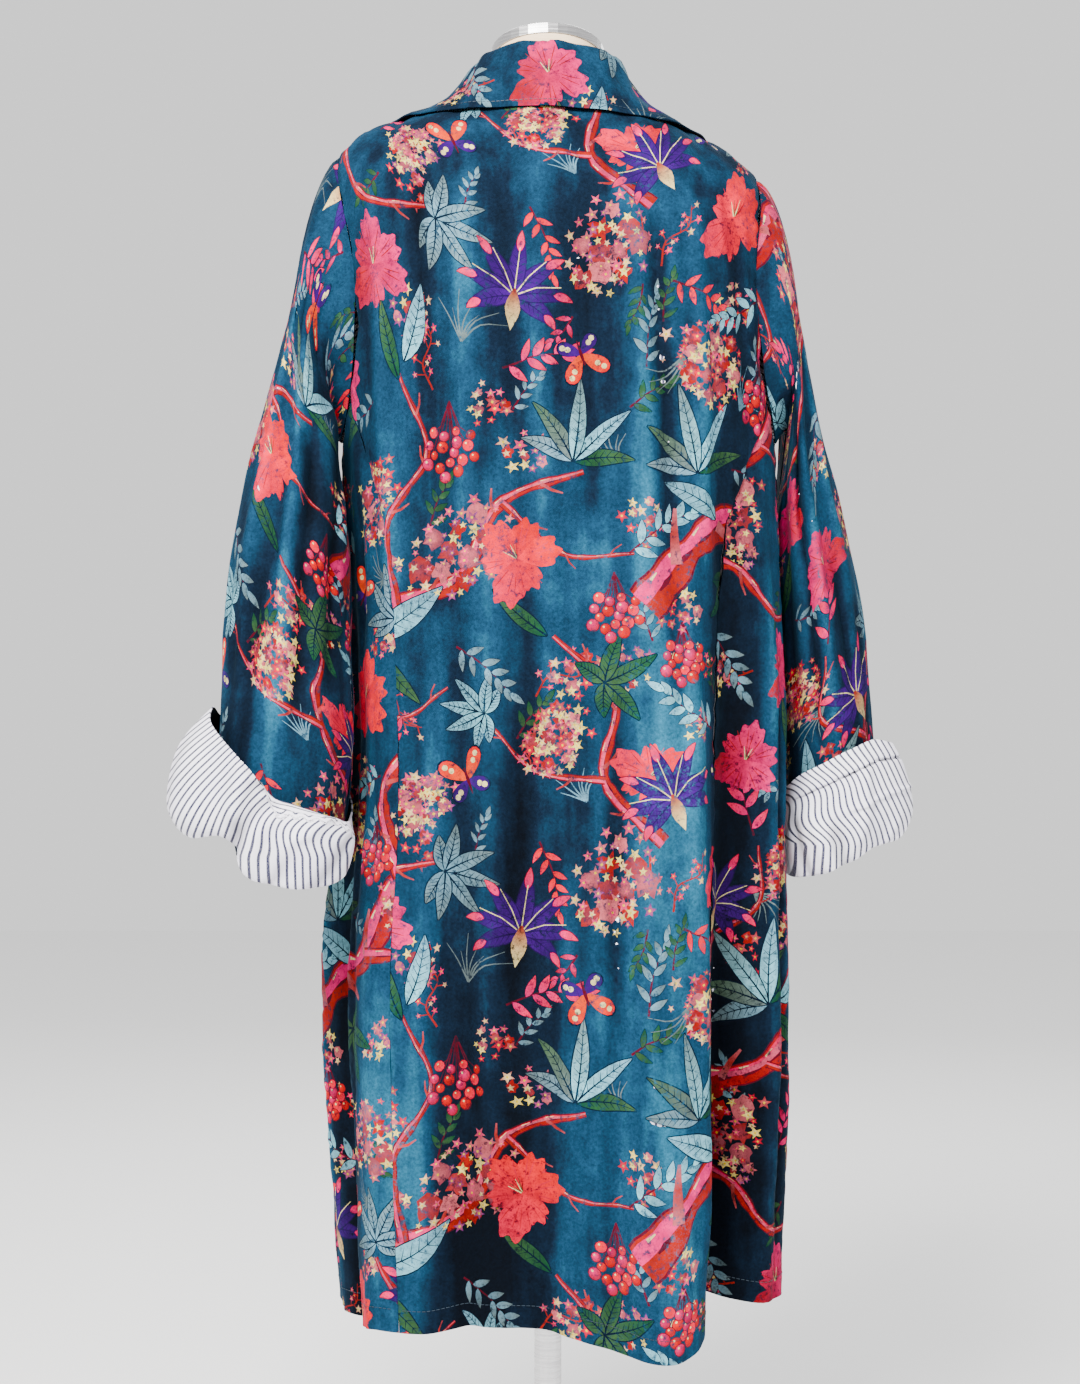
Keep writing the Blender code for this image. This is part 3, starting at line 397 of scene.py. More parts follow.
COLLAR_FOLD = 0.0085  # how far out the collar turns over at its top
COLLAR_TOP_DROP = 0.0015
COLLAR_FOLD_DROP = 0.0005
COLLAR_BOW_UP = 0.75  # how far the fall bows up, as a share of how far it bows out

# The dress form
NECK_RADIUS = 0.0570
NECK_TOP_Z = 1.5715
NECK_TILT = 16.0
NECK_LEANS = ((1.5350, 0.5), (1.5500, 0.75), (NECK_TOP_Z, 1.0))  # heights, and shares of the tilt
TORSO_ROWS = 41
FORM_SEAMS = (0.0, 90.0, 180.0, 270.0)
FORM_SEAM_DEPTH = 0.0010
FORM_SEAM_HALF_ANGLE = 2.2
REST_GAP = 0.0004
REST_CLEAR = 0.0060
FORM_REST_RUNS = (0.000, 0.015, 0.030, 0.045, 0.060, 0.075, 0.090)
FORM_ROUND = 120
FormRing = namedtuple("FormRing", "order side_z back_z front_z half_width back front")
FORM_TORSO = named(FormRing, [
    (0.0, 1.4450, 1.3900, 1.3600, 0.1830, 0.1180, 0.1090),
    (1.0, 1.3850, 1.3300, 1.3100, 0.1760, 0.1150, 0.1120),
    (2.0, 1.2900, 1.2600, 1.2500, 0.1640, 0.1100, 0.1220),
    (3.0, 1.1900, 1.1800, 1.1800, 0.1560, 0.1050, 0.1230),
    (4.0, 1.1000, 1.1000, 1.1000, 0.1420, 0.0980, 0.1080),
    (5.0, 1.0200, 1.0200, 1.0200, 0.1340, 0.0940, 0.1000),
    (6.0, 0.9300, 0.9300, 0.9300, 0.1450, 0.1020, 0.1040),
    (7.0, 0.8500, 0.8500, 0.8500, 0.1540, 0.1080, 0.1060),
    (8.0, 0.8000, 0.8000, 0.8000, 0.1520, 0.1060, 0.1040),
])

# The print's colours, as on a screen
INKS = {
    "ink": (0.03, 0.09, 0.14),
    "pale": (0.62, 0.80, 0.84),
    "mist": (0.50, 0.62, 0.68),
    "sage": (0.42, 0.46, 0.46),
    "olive": (0.26, 0.34, 0.24),
    "moss": (0.10, 0.26, 0.18),
    "hot": (0.95, 0.14, 0.40),
    "rose": (0.95, 0.34, 0.52),
    "coral": (0.95, 0.17, 0.22),
    "brick": (0.60, 0.10, 0.16),
    "wine": (0.34, 0.07, 0.15),
    "dusty": (0.74, 0.44, 0.46),
    "mauve": (0.52, 0.28, 0.32),
    "rust": (0.60, 0.24, 0.22),
    "cream": (0.97, 0.90, 0.72),
    "lemon": (0.95, 0.82, 0.42),
    "plum": (0.14, 0.06, 0.26),
    "violet": (0.27, 0.13, 0.44),
    "amber": (0.90, 0.44, 0.16),
}
INK_DEPTH = 1.45  # how much stronger each colour is
INK_GAIN = 0.70  # how light it stays
INK_VARY = 0.15  # how much it varies from shape to shape
THIN = 0.0000005  # the area of a corner that an outline of the print can do without
SEED_TURN = 2.399963  # from one flower or berry to the next round its bunch, in radians
TILE_WIDTH = 0.60
TILE_HEIGHT = 0.62


def smooth_rows(rows, at):
    """The rows' columns at these places in their first column, on a curve through the rows."""
    table = np.array([tuple(row) for row in rows], float)
    places = table[:, 0]
    slopes = np.gradient(table, places, axis=0)
    at = np.clip(np.asarray(at, float), places[0], places[-1])
    index = np.clip(np.searchsorted(places, at, side="right") - 1, 0, len(places) - 2)
    width = (places[index + 1] - places[index])[..., None]
    t = (at - places[index])[..., None] / width
    low, high = table[index], table[index + 1]
    low_slope, high_slope = slopes[index] * width, slopes[index + 1] * width
    return (
        (2 * t**3 - 3 * t**2 + 1) * low
        + (t**3 - 2 * t**2 + t) * low_slope
        + (3 * t**2 - 2 * t**3) * high
        + (t**3 - t**2) * high_slope
    )


def station_angle(stations, run):
    places = [station.run for station in stations]
    return np.interp(run, places, [station.angle for station in stations])


def unit(vectors):
    return vectors / np.maximum(np.linalg.norm(vectors, axis=-1, keepdims=True), 1e-12)


def turned(off):
    """The shortest way round for an angle in degrees."""
    return (off + 180.0) % 360.0 - 180.0


def crease_push(creases, across, down):
    """What a table of creases adds there. Its rows go from one place on the cloth to another."""
    push = np.zeros(np.broadcast(across, down).shape)
    for across_a, down_a, across_b, down_b, half, depth in creases:
        share = (down - down_a) / (down_b - down_a)
        centre = across_a + (across_b - across_a) * np.clip(share, -0.1, 1.1)
        ends = np.clip(np.minimum(share + 0.12, 1.12 - share) / 0.3, 0, 1)
        off = turned(across - centre) / half
        push = push + depth * np.exp(-(off**2)) * ends * ends * (3 - 2 * ends)
    return push


def fold_push(angle, run):
    push = np.zeros(np.broadcast(angle, run).shape)
    lift = push
    down = np.clip((run - MID_RUN) / (HEM_RUN - MID_RUN), 0, 1)
    for fold in FOLDS:
        centre = fold.top_angle + (fold.hem_angle - fold.top_angle) * run / HEM_RUN
        grown = np.clip((run - fold.start_run) / (MID_RUN - fold.start_run), 0, 1)
        grown = grown * grown * (3 - 2 * grown)
        depth = fold.mid_depth * grown + (fold.hem_depth - fold.mid_depth) * down
        near = np.exp(-((turned(angle - centre) / fold.half_angle) ** 2))
        push, lift = push + depth * near, lift + fold.hem_lift * down * near
    return push, lift


def body_shell(angle, run, folded=True, creased=False):
    angle, run = np.broadcast_arrays(np.asarray(angle, float), np.asarray(run, float))
    row = smooth_rows(BODY, run)
    side_z, back_z, front_z, half_width, back, front, centre_x, left_wide, tilt = (
        row[..., i] for i in range(1, 10)
    )
    s, c = np.sin(np.radians(angle)), np.cos(np.radians(angle))
    depth = np.where(c > 0, back, front)
    x = half_width * s * (1 + SQUARENESS * c * c)
    y = -depth * c * (1 + SQUARENESS * s * s)
    z = side_z + (np.where(c > 0, back_z, front_z) - side_z) * c * c + tilt * s
    x = x - left_wide * np.clip(-s, 0, 1) ** 2
    if folded:
        out_x, out_y = s / half_width, -c / depth
        push, lift = fold_push(angle, run)
        if creased:
            push = push + crease_push(CREASES, angle, run) * CREASE_GAIN
        push = push / np.hypot(out_x, out_y)
        x, y, z = x + push * out_x, y + push * out_y, z + lift
    return np.stack([x + centre_x, y, z], axis=-1)


def creased_body(angle, run):
    return body_shell(angle, run, True, True)


def shell_normal(angle, run, folded=True):
    angle, run = np.broadcast_arrays(np.asarray(angle, float), np.asarray(run, float))
    round_step, down_step = 0.4, 0.0015
    low = np.clip(run - down_step, 0, HEM_RUN)
    high = np.clip(run + down_step, 0, HEM_RUN)
    across = body_shell(angle + round_step, run, folded) - body_shell(angle - round_step, run, folded)
    along = body_shell(angle, high, folded) - body_shell(angle, low, folded)
    return unit(np.cross(along, across))


def armhole_half(run):
    """How far the armhole opens from the side line, in degrees."""
    within = np.clip(1 - ((run - ARMHOLE_MIDDLE) / ARMHOLE_REACH) ** 2, 0, 1)
    return ARMHOLE_HALF_ANGLE * np.sqrt(within)


def armhole_point(side, around, inset):
    half = ARMHOLE_HALF_ANGLE - np.degrees(inset / ARM_RADIUS)
    angle = side * (SIDE_ANGLE - half * np.sin(around))
    run = ARMHOLE_MIDDLE - (ARMHOLE_REACH - inset) * np.cos(around)
    return body_shell(angle, run), shell_normal(angle, run)


def sleeve_surface(side, rings, along, around, creased=True):
    row = smooth_rows(rings, along)
    inner_x, inner_z, outer_x, outer_z, back_y, front_y, hang = (row[..., i] for i in range(1, 8))
    c, s = np.cos(around), np.sin(around)
    push = np.zeros(c.shape)
    for fold in SLEEVE_FOLDS:
        off = turned(np.degrees(around) - fold.around)
        far = (along - fold.along) / fold.half_along
        push = push + fold.depth * np.exp(-((off / fold.half_angle) ** 2) - far**2)
    if creased:
        push = push + crease_push(ARM_CREASES, np.degrees(around), along) * CREASE_GAIN
        under = np.clip((along - SLEEVE_LOW) / SLEEVE_LOW_REACH, 0, 1)
        push = np.minimum(push * (1 - SLEEVE_LOW_LOSS * under), SLEEVE_MOST - SLEEVE_MOST_LOSS * under)
    half_x, half_z, half_y = (outer_x - inner_x) / 2, (outer_z - inner_z) / 2, (front_y - back_y) / 2
    swell = 1 + push / SLEEVE_GIRTH
    x = (outer_x + inner_x) / 2 + half_x * c * swell * (1 + SLEEVE_SQUARE_X * s * s)
    x = side * (x - hang * np.clip(-2 * c * s, 0, 1))
    y = (front_y + back_y) / 2 - half_y * s * swell * (1 + SLEEVE_SQUARE_Y * c * c)
    z = (outer_z + inner_z) / 2 + half_z * c
    loose = np.stack([x, y, z], axis=-1)
    seam, normal = armhole_point(side, around, SEAM_GAP + SEAM_SPARE + SEAM_TURN * along)
    seam = seam + normal * (SEAM_TURN * along)[..., None]
    share = np.clip(along / SLEEVE_FREE, 0, 1)
    share = (share * share * (3 - 2 * share))[..., None]
    return seam * (1 - share) + loose * share


def through_knots(knots, place):
    """A curve through six knots, which are arrays of points or numbers, at places from 0 to 5."""
    index = np.clip(np.floor(place).astype(int), 0, 4)
    t = place - index
    while t.ndim < knots[0].ndim:
        t, index = t[..., None], index[..., None]

    def knot(i):
        i = np.clip(i, 0, 5)
        return sum(np.where(i == n, knots[n], 0.0) for n in range(6))

    a, b, c, d = knot(index - 1), knot(index), knot(index + 1), knot(index + 2)
    bend = (2 * a - 5 * b + 4 * c - d) * t**2 + (3 * b - a - 3 * c + d) * t**3
    return 0.5 * (2 * b + (c - a) * t + bend)


def cuff_surface(side, rings, stations, crumples, up, around):
    """A turned-back cuff. Up is 0 at the sleeve's end and 1 at the free edge."""
    wrapped = [s._replace(around=s.around - 360.0) for s in stations[-2:]]
    wrapped += stations + [s._replace(around=s.around + 360.0) for s in stations[:2]]
    row = smooth_rows(wrapped, np.degrees(around) % 360.0)
    bulge, drop, rise, edge_off = (row[..., i] for i in range(1, 5))
    full = np.ones(up.shape)
    end = sleeve_surface(side, rings, full, around, False)
    ahead = sleeve_surface(side, rings, full, around + 0.02, False)
    behind = sleeve_surface(side, rings, full, around - 0.02, False)
    level = unit((ahead - behind) * np.array([1.0, 1.0, 0.0]))
    out = np.cross(level, np.array([0.0, 0.0, 1.0])) * -side
    start = 0.5 * CLOTH + SEAM_GAP
    place = np.clip(up, 0, 1) * 5
    far = through_knots(
        [bulge * 0, bulge * 0.16, bulge * 0.62, bulge, bulge * 0.78, edge_off + CLOTH], place
    )
    high = through_knots(
        [bulge * 0 - start, -0.72 * drop, -drop, -0.30 * drop, 0.55 * rise, rise], place
    )
    free = np.clip((up - 0.12) / 0.25, 0, 1)
    far = far + crease_push(crumples, np.degrees(around), up) * free
    far = np.maximum(far, CUFF_ROOM * np.clip((up - 0.30) / 0.16, 0, 1))
    lift = np.array([0.0, 0.0, 1.0])
    return end + out * far[..., None] + lift * high[..., None]


def collar_surface(along, across):
    """Points in the middle of the collar. Along is -1 to 1 from the left front round the neck to the
    right front, and across is 0 at the neck seam and 1 at the outer edge."""
    row = smooth_rows(COLLAR, np.abs(along))
    seam_angle, seam_run, stand, edge_angle, edge_run, standing, bow = (
        row[..., i] for i in range(1, 8)
    )
    side = np.where(along < 0, -1.0, 1.0)
    off = CLOTH / 2 + COLLAR_CLOTH / 2 + SEAM_GAP + SEAM_SPARE
    angle = side * (seam_angle + (edge_angle - seam_angle) * across)
    run = seam_run + (edge_run - seam_run) * across
    roll = (LAPEL_ROLL + COLLAR_LIFT) * np.sin(np.pi * np.clip(across, 0, 1))
    flat = body_shell(angle, run) + shell_normal(angle, run) * (off + roll)[..., None]
    seam = body_shell(side * seam_angle, seam_run)
    seam = seam + shell_normal(side * seam_angle, seam_run) * off
    edge = body_shell(side * edge_angle, edge_run)
    edge = edge + shell_normal(side * edge_angle, edge_run) * (off + COLLAR_LIFT)
    top = seam * np.array([COLLAR_LEAN, COLLAR_LEAN, 1.0])
    top[..., 2] += stand
    out = unit((edge - seam) * np.array([1.0, 1.0, 0.0]) + 1e-9)
    up = np.array([0.0, 0.0, 1.0])
    fold = top + out * COLLAR_FOLD - up * COLLAR_FOLD_DROP
    knots = [
        seam,
        seam * 0.5 + top * 0.5,
        top - up * COLLAR_TOP_DROP,
        fold,
        fold * 0.5 + edge * 0.5 + (out + up * COLLAR_BOW_UP) * bow[..., None],
        edge,
    ]
    tall = through_knots(knots, np.clip(across, 0, 1) * (len(knots) - 1))
    standing = np.clip(standing, 0, 1)[..., None]
    return tall * standing + flat * (1 - standing)


# The print. Its shapes are drawn with y up, each as an outline with two colours


class Shape:
    """A flat outline, coloured from near its centre to far from it."""

    def __init__(self, outline, near, far=None, centre=None, reach=0.02):
        self.outline = np.asarray(outline, float)
        self.near, self.far = near, far or near
        self.centre = self.outline.mean(0) if centre is None else np.asarray(centre, float)
        self.reach = reach

    def placed(self, x, y, turn=0.0, size=1.0):
        c, s = math.cos(turn) * size, math.sin(turn) * size
        matrix = np.array([[c, s], [-s, c]])
        move = np.array([x, y])
        outline = self.outline @ matrix + move
        return Shape(outline, self.near, self.far, self.centre @ matrix + move, self.reach * size)


def placed(shapes, x, y, turn=0.0, size=1.0):
    return [shape.placed(x, y, turn, size) for shape in shapes]


def ways(line):
    """The way along a line at each of its points, and the way to its side."""
    way = unit(np.gradient(line, axis=0))
    return way, np.stack([-way[:, 1], way[:, 0]], axis=-1)


def ribbon(points, widths):
    """The outline of a stroke of changing width."""
    points = np.asarray(points, float)
    side = ways(points)[1] * np.asarray(widths, float)[:, None] / 2
    return np.vstack([points + side, (points - side)[::-1]])


def spoke(radius, turn, shares):
    """Points at shares of a radius, all one way from the middle."""
    return [(radius * r * math.cos(turn), radius * r * math.sin(turn)) for r in shares]


def curve(points, count):
    """A smooth line through a few points."""
    rows = [(i, x, y) for i, (x, y) in enumerate(points)]
    return smooth_rows(rows, np.linspace(0, len(points) - 1, count))[:, 1:]


def leaf(length, width, bend, light, dark, edge="ink"):
    """A leaf from the origin along +x, in two tones, with a vein and side veins."""
    t = np.linspace(0, 1, 10)
    spine = np.stack([length * t, bend * length * t * t], axis=-1)
    way, side = ways(spine)
    half = (width / 2 * np.sin(np.pi * t**0.8) ** 0.9)[:, None]
    rim = min(0.0012, width * 0.09)
    outer = np.vstack([spine + side * (half + rim), (spine - side * (half + rim))[::-1]])
    shapes = [
        Shape(outer, edge),
        Shape(np.vstack([spine, (spine + side * half)[::-1]]), light, dark, (0, 0), length),
        Shape(np.vstack([spine, (spine - side * half)[::-1]]), dark, light, (length, 0), length),
    ]
    if width > 0.010:
        shapes.append(Shape(ribbon(spine, 0.0016 * (1 - t) + 0.0004), edge))
        for i in range(2, 8):
            for way_side in (1, -1):
                tip = spine[i] + way_side * side[i] * half[i] * 0.82 + way[i] * half[i] * 0.7
                vein = np.stack([spine[i], (spine[i] + tip) / 2, tip])
                shapes.append(Shape(ribbon(vein, (0.0009, 0.0007, 0.0003)), edge))
    return shapes


def rosette(count, length, width, light, dark):
    """Long leaves that spread from one point like a hand."""
    shapes = []
    order = sorted(range(count), key=lambda i: (i * 5) % count)
    for i in order:
        turn = math.radians(-118 + 236 * i / (count - 1))
        share = 0.72 + 0.28 * math.cos(turn)
        piece = leaf(length * share, width, 0.16 * math.sin(turn * 2 + i), light, dark)
        shapes += placed(piece, 0, 0, turn)
    return shapes


def spray(count, length, size, light, dark, stem="wine"):
    """Small leaves in pairs up a curved stem."""
    line = curve([(0, 0), (length * 0.5, length * 0.08), (length, length * 0.02)], 12)
    shapes = [Shape(ribbon(line, np.linspace(0.0022, 0.0008, 12)), stem)]
    for i in range(count):
        share = 0.16 + 0.8 * i / (count - 1)
        at = line[int(share * 11)]
        turn = math.radians((52 if i % 2 else -52) * (1.1 - 0.5 * share))
        piece = leaf(size * (1.15 - 0.45 * share), size * 0.36, 0.1, light, dark)
        shapes += placed(piece, at[0], at[1], turn)
    tip = leaf(size * 0.9, size * 0.34, 0.05, light, dark)
    return shapes + placed(tip, line[-1][0], line[-1][1], 0.0)


def bloom(radius, near, far, petals=6):
    """An open flower with ruffled petals, in two tones from side to side, and a torn heart."""
    shapes = []
    for i in range(petals):
        t = np.linspace(0, 1, 21)
        wave = 1 + 0.09 * np.sin(t * 23 + i * 2.1) * np.sin(np.pi * t)
        reach = radius * (0.30 + (0.56 + 0.16 * math.sin(i * 2.6)) * np.sin(np.pi * t) ** 0.5) * wave
        spread = (t - 0.5) * 2 * math.radians(180 / petals * 1.25)
        petal = np.stack([reach * np.cos(spread), reach * np.sin(spread)], axis=-1)
        petal = np.vstack([petal, [[0.0, 0.0]]])
        turn = 2 * math.pi * i / petals + 0.16 * math.sin(i * 3.0)
        made = placed([Shape(petal, near, far)], 0, 0, turn)
        for k in (-2, 0, 1):
            vein = ribbon(spoke(radius, k * 0.20, (0.3, 0.5, 0.74)), (0.0005, 0.0011, 0.0004))
            made += placed([Shape(vein, "brick", near)], 0, 0, turn)
        shapes += made
    for shape in shapes:
        shape.centre, shape.reach = np.array([-radius * 0.8, radius * 0.2]), radius * 1.7
    for k in range(6):
        line = ribbon(spoke(radius, 0.4 + k * 0.21, (0.03, 0.16, 0.34)), (0.0012, 0.0010, 0.0005))
        shapes.append(Shape(line, ("brick", "olive", "cream")[k % 3]))
    return shapes


def disc(radius, x, y, near, far=None, sides=12):
    turn = np.arange(sides) * 2 * math.pi / sides
    ring = np.stack([x + radius * np.cos(turn), y + radius * np.sin(turn)], axis=-1)
    return Shape(ring, near, far, (x - radius * 0.3, y + radius * 0.3), radius * 1.6)


def star_lily(radius):
    """A flower of narrow plum petals with rosy tips and pale ribs."""
    shapes = []
    for i in range(7):
        turn = math.radians(-100 + 200 * i / 6)
        bend = 0.30 * math.sin(turn)
        size = radius * (0.82 + 0.2 * math.cos(turn))
        shapes += placed(leaf(size, radius * 0.27, bend, "violet", "plum", "plum"), 0, 0, turn)
        tip = leaf(size * 0.34, radius * 0.13, bend, "rose", "hot", "wine")
        end = (size * 0.70 * math.cos(turn) - bend * size * 0.5 * math.sin(turn),
               size * 0.70 * math.sin(turn) + bend * size * 0.5 * math.cos(turn))
        shapes += placed(tip, end[0], end[1], turn + bend)
    for i in range(5):
        turn = math.radians(-52 + 26 * i)
        line = [(radius * r * math.cos(turn * (1 + r * 0.4)), radius * r * math.sin(turn * (1 + r * 0.4)))
                for r in (0.08, 0.4, 0.78)]
        shapes.append(Shape(ribbon(line, (0.0013, 0.0010, 0.0008)), "cream"))
    cup = curve([(-0.55 * radius, 0), (-0.2 * radius, 0.13 * radius), (0.12 * radius, 0.02 * radius)], 7)
    base = np.vstack([cup, (cup * np.array([1, -1]))[::-1]])
    return shapes + [Shape(base, "brick", "cream", (0.1 * radius, 0), 0.6 * radius)]


def berries(count, radius):
    """A hanging bunch of round berries on thin stalks."""
    shapes, spots = [], []
    for i in range(count):
        turn = i * SEED_TURN
        far = radius * math.sqrt((i + 0.5) / count)
        spots.append((far * math.cos(turn), far * math.sin(turn) * 0.8))
    for x, y in spots[::2]:
        stalk = [(0, radius * 1.5), (x * 0.5, radius * 0.6 + y * 0.3), (x, y)]
        shapes.append(Shape(ribbon(stalk, (0.0014, 0.0010, 0.0008)), "wine"))
    for i, (x, y) in enumerate(spots):
        size = 0.0052 + 0.0009 * math.sin(i * 2.7)
        near, far = (("rose", "brick"), ("coral", "brick"), ("coral", "hot"))[i % 3]
        shapes.append(disc(size * 1.12, x, y, "wine", sides=10))
        shapes.append(disc(size, x, y, near, far, 10))
        shapes.append(disc(size * 0.22, x - size * 0.35, y + size * 0.4, "cream", sides=5))
    return shapes


def ragged(x, y, size, near, far, sides=22):
    """A patch with a torn edge."""
    t = np.arange(sides) * 2 * math.pi / sides
    wobble = np.array([random.uniform(-0.16, 0.16) for _ in range(sides)])
    lobes = size * (0.80 + 0.17 * np.sin(5 * t + x * 900) + 0.10 * np.sin(8 * t + y * 700) + wobble)
    ring = np.stack([x + lobes * np.cos(t), y + lobes * np.sin(t)], axis=-1)
    return Shape(ring, near, far, (x, y), size)


def floret(x, y, size, near, rim, lobes=5):
    """A little open flower with a dot in it."""
    t = np.arange(lobes * 2) * math.pi / lobes
    reach = size * (0.72 + 0.30 * np.cos(lobes * t))
    t = t + x * 800
    flat = 0.70 + 0.28 * random.random()
    ring = np.stack([x + reach * np.cos(t), y + reach * np.sin(t) * flat], axis=-1)
    return [Shape(ring, near, rim, (x, y), size), disc(size * 0.20, x, y, "lemon", sides=4)]


def blossom(count, radius, tones):
    """A crowd of little flowers on torn, dusky patches."""
    shapes = []
    patches = max(count // 5, 4)
    for i in range(patches):
        turn = i * SEED_TURN + radius * 50
        far = radius * 0.86 * math.sqrt((i + 0.4) / patches)
        x, y = far * math.cos(turn) * 1.15, far * math.sin(turn) * 0.85
        near, rim = (("mauve", "rust"), ("dusty", "mauve"), ("rust", "brick"), ("dusty", "dusty"))[i % 4]
        shapes.append(ragged(x, y, radius * random.uniform(0.20, 0.34), near, rim, 13))
    for i in range(count):
        turn = i * SEED_TURN + 0.4
        far = radius * math.sqrt((i + 0.3) / count) * random.uniform(0.80, 1.22)
        x, y = far * math.cos(turn) * 1.15, far * math.sin(turn) * 0.85
        near, rim = tones[i % len(tones)]
        shapes += floret(x, y, random.uniform(0.0036, 0.0080), near, rim)
    return shapes


def trail(count, length, size):
    """A drooping stem with pink and cream flowers on short stalks."""
    bend = length * 0.16
    line = curve([(0, 0), (length * 0.35, bend), (length * 0.7, -bend * 0.3), (length, bend * 0.6)], 16)
    way, side = ways(line)
    shapes = [Shape(ribbon(line, np.linspace(0.0020, 0.0008, 16)), "rust")]
    for i in range(count):
        at = 2 + int(12 * i / (count - 1))
        far = size * (1.5 if i % 2 else -1.5) * random.uniform(0.7, 1.2)
        tip = line[at] + side[at] * far + way[at] * size * 0.8
        shapes.append(Shape(ribbon(np.stack([line[at], (line[at] + tip) / 2, tip]), (0.001,) * 3), "rust"))
        near, rim = (("hot", "rose"), ("rose", "dusty"), ("cream", "dusty"), ("hot", "brick"))[i % 4]
        shapes += floret(tip[0], tip[1], size * random.uniform(0.55, 0.95), near, rim)
    return shapes


def fan(length):
    """Long, broad leaves from one root, with a dark one among them."""
    shapes = []
    for turn, share, light, dark in (
        (74, 0.72, "mist", "sage"),
        (-52, 0.80, "moss", "olive"),
        (-20, 1.00, "pale", "mist"),
        (46, 0.90, "sage", "olive"),
        (14, 1.10, "pale", "sage"),
    ):
        piece = leaf(length * share, length * 0.21, 0.30 * math.sin(math.radians(turn)), light, dark)
        shapes += placed(piece, 0, 0, math.radians(turn))
    return shapes


def tuft(count, length, tone):
    """Thin blades of grass."""
    shapes = []
    for i in range(count):
        turn = math.radians(-40 + 80 * i / (count - 1))
        reach = length * random.uniform(0.6, 1.0)
        blade = curve([(0, 0), (reach * 0.5, reach * 0.08), (reach, reach * 0.3 * math.sin(turn))], 7)
        shapes += placed([Shape(ribbon(blade, np.linspace(0.0022, 0.0005, 7)), tone)], 0, 0, turn)
    return shapes


def branch(points, start, end):
    """A gnarled branch with a lit side, dark bark marks and short twigs."""
    count = 8 * len(points)
    line = curve(points, count)
    t = np.linspace(0, 1, count)
    width = (start + (end - start) * t) * (1 + 0.20 * np.sin(t * 31) + 0.12 * np.sin(t * 67 + 1))
    way, side = ways(line)
    shapes = [
        Shape(ribbon(line, width * 1.10 + 0.0012), "wine"),
        Shape(ribbon(line, width), "rust", "brick", line[0], 0.25),
        Shape(ribbon(line + side * width[:, None] * 0.20, width * 0.42), "dusty", "rose", line[-1], 0.3),
        Shape(ribbon(line + side * width[:, None] * 0.34, width * 0.14), "hot", "rose", line[-1], 0.3),
    ]
    for i in range(2, count - 3, 3):
        mark = line[i:i + 3] - side[i:i + 3] * (width[i:i + 3] * (0.30 - 0.12 * (i % 3)))[:, None]
        shapes.append(Shape(ribbon(mark, np.array([0.3, 1.0, 0.3]) * width[i] * 0.16), "wine"))
        spark = line[i:i + 2] + side[i:i + 2] * (width[i:i + 2] * 0.34)[:, None]
        shapes.append(Shape(ribbon(spark, np.array([0.8, 0.3]) * width[i] * 0.12), "cream"))
    for i in range(5, count - 4, 7):
        turn = 0.8 if i % 2 else -0.8
        c, s = math.cos(turn), math.sin(turn)
        aside = way[i] @ np.array([[c, s], [-s, c]])
        reach = width[i] * 1.2 + 0.010
        twig = np.stack([line[i], line[i] + aside * reach * 0.6, line[i] + aside * reach + way[i] * 0.004])
        shapes.append(Shape(ribbon(twig, np.array([0.34, 0.22, 0.08]) * width[i] + 0.0008), "rust", "dusty"))
    return shapes


def butterfly(size):
    """Two pairs of rounded wings with dots, in warm colours."""
    shapes = []
    for side in (1, -1):
        for far, wide, turn, near, rim in (
            (1.0, 0.66, 48, "amber", "coral"),
            (0.74, 0.58, -34, "violet", "plum"),
        ):
            t = np.arange(16) * 2 * math.pi / 16
            ring = np.stack([size * far * (0.5 + 0.5 * np.cos(t)), size * wide * 0.5 * np.sin(t)], -1)
            ring[:, 1] *= 0.35 + 0.65 * ring[:, 0] / (size * far)
            way = math.radians(turn)
            wing = placed([Shape(ring * 1.06, "ink"), Shape(ring, near, rim, (0, 0), size)], 0, 0, way)
            wing += placed([disc(size * 0.09, size * far * k, 0, "cream", sides=8) for k in (0.6, 0.82)],
                           0, 0, way)
            for shape in wing:
                shape.outline = shape.outline * np.array([side, 1.0])
                shape.centre = shape.centre * np.array([side, 1.0])
            shapes += wing
    body = [(0, -size * 0.42), (0, 0), (0, size * 0.36)]
    return shapes + [Shape(ribbon(body, (0.001, size * 0.12, size * 0.06)), "wine")]


WARM = (("dusty", "brick"), ("cream", "dusty"), ("hot", "brick"), ("dusty", "rose"), ("cream", "lemon"))
SOFT = (("cream", "dusty"), ("dusty", "violet"), ("rose", "dusty"), ("cream", "lemon"), ("dusty", "dusty"))

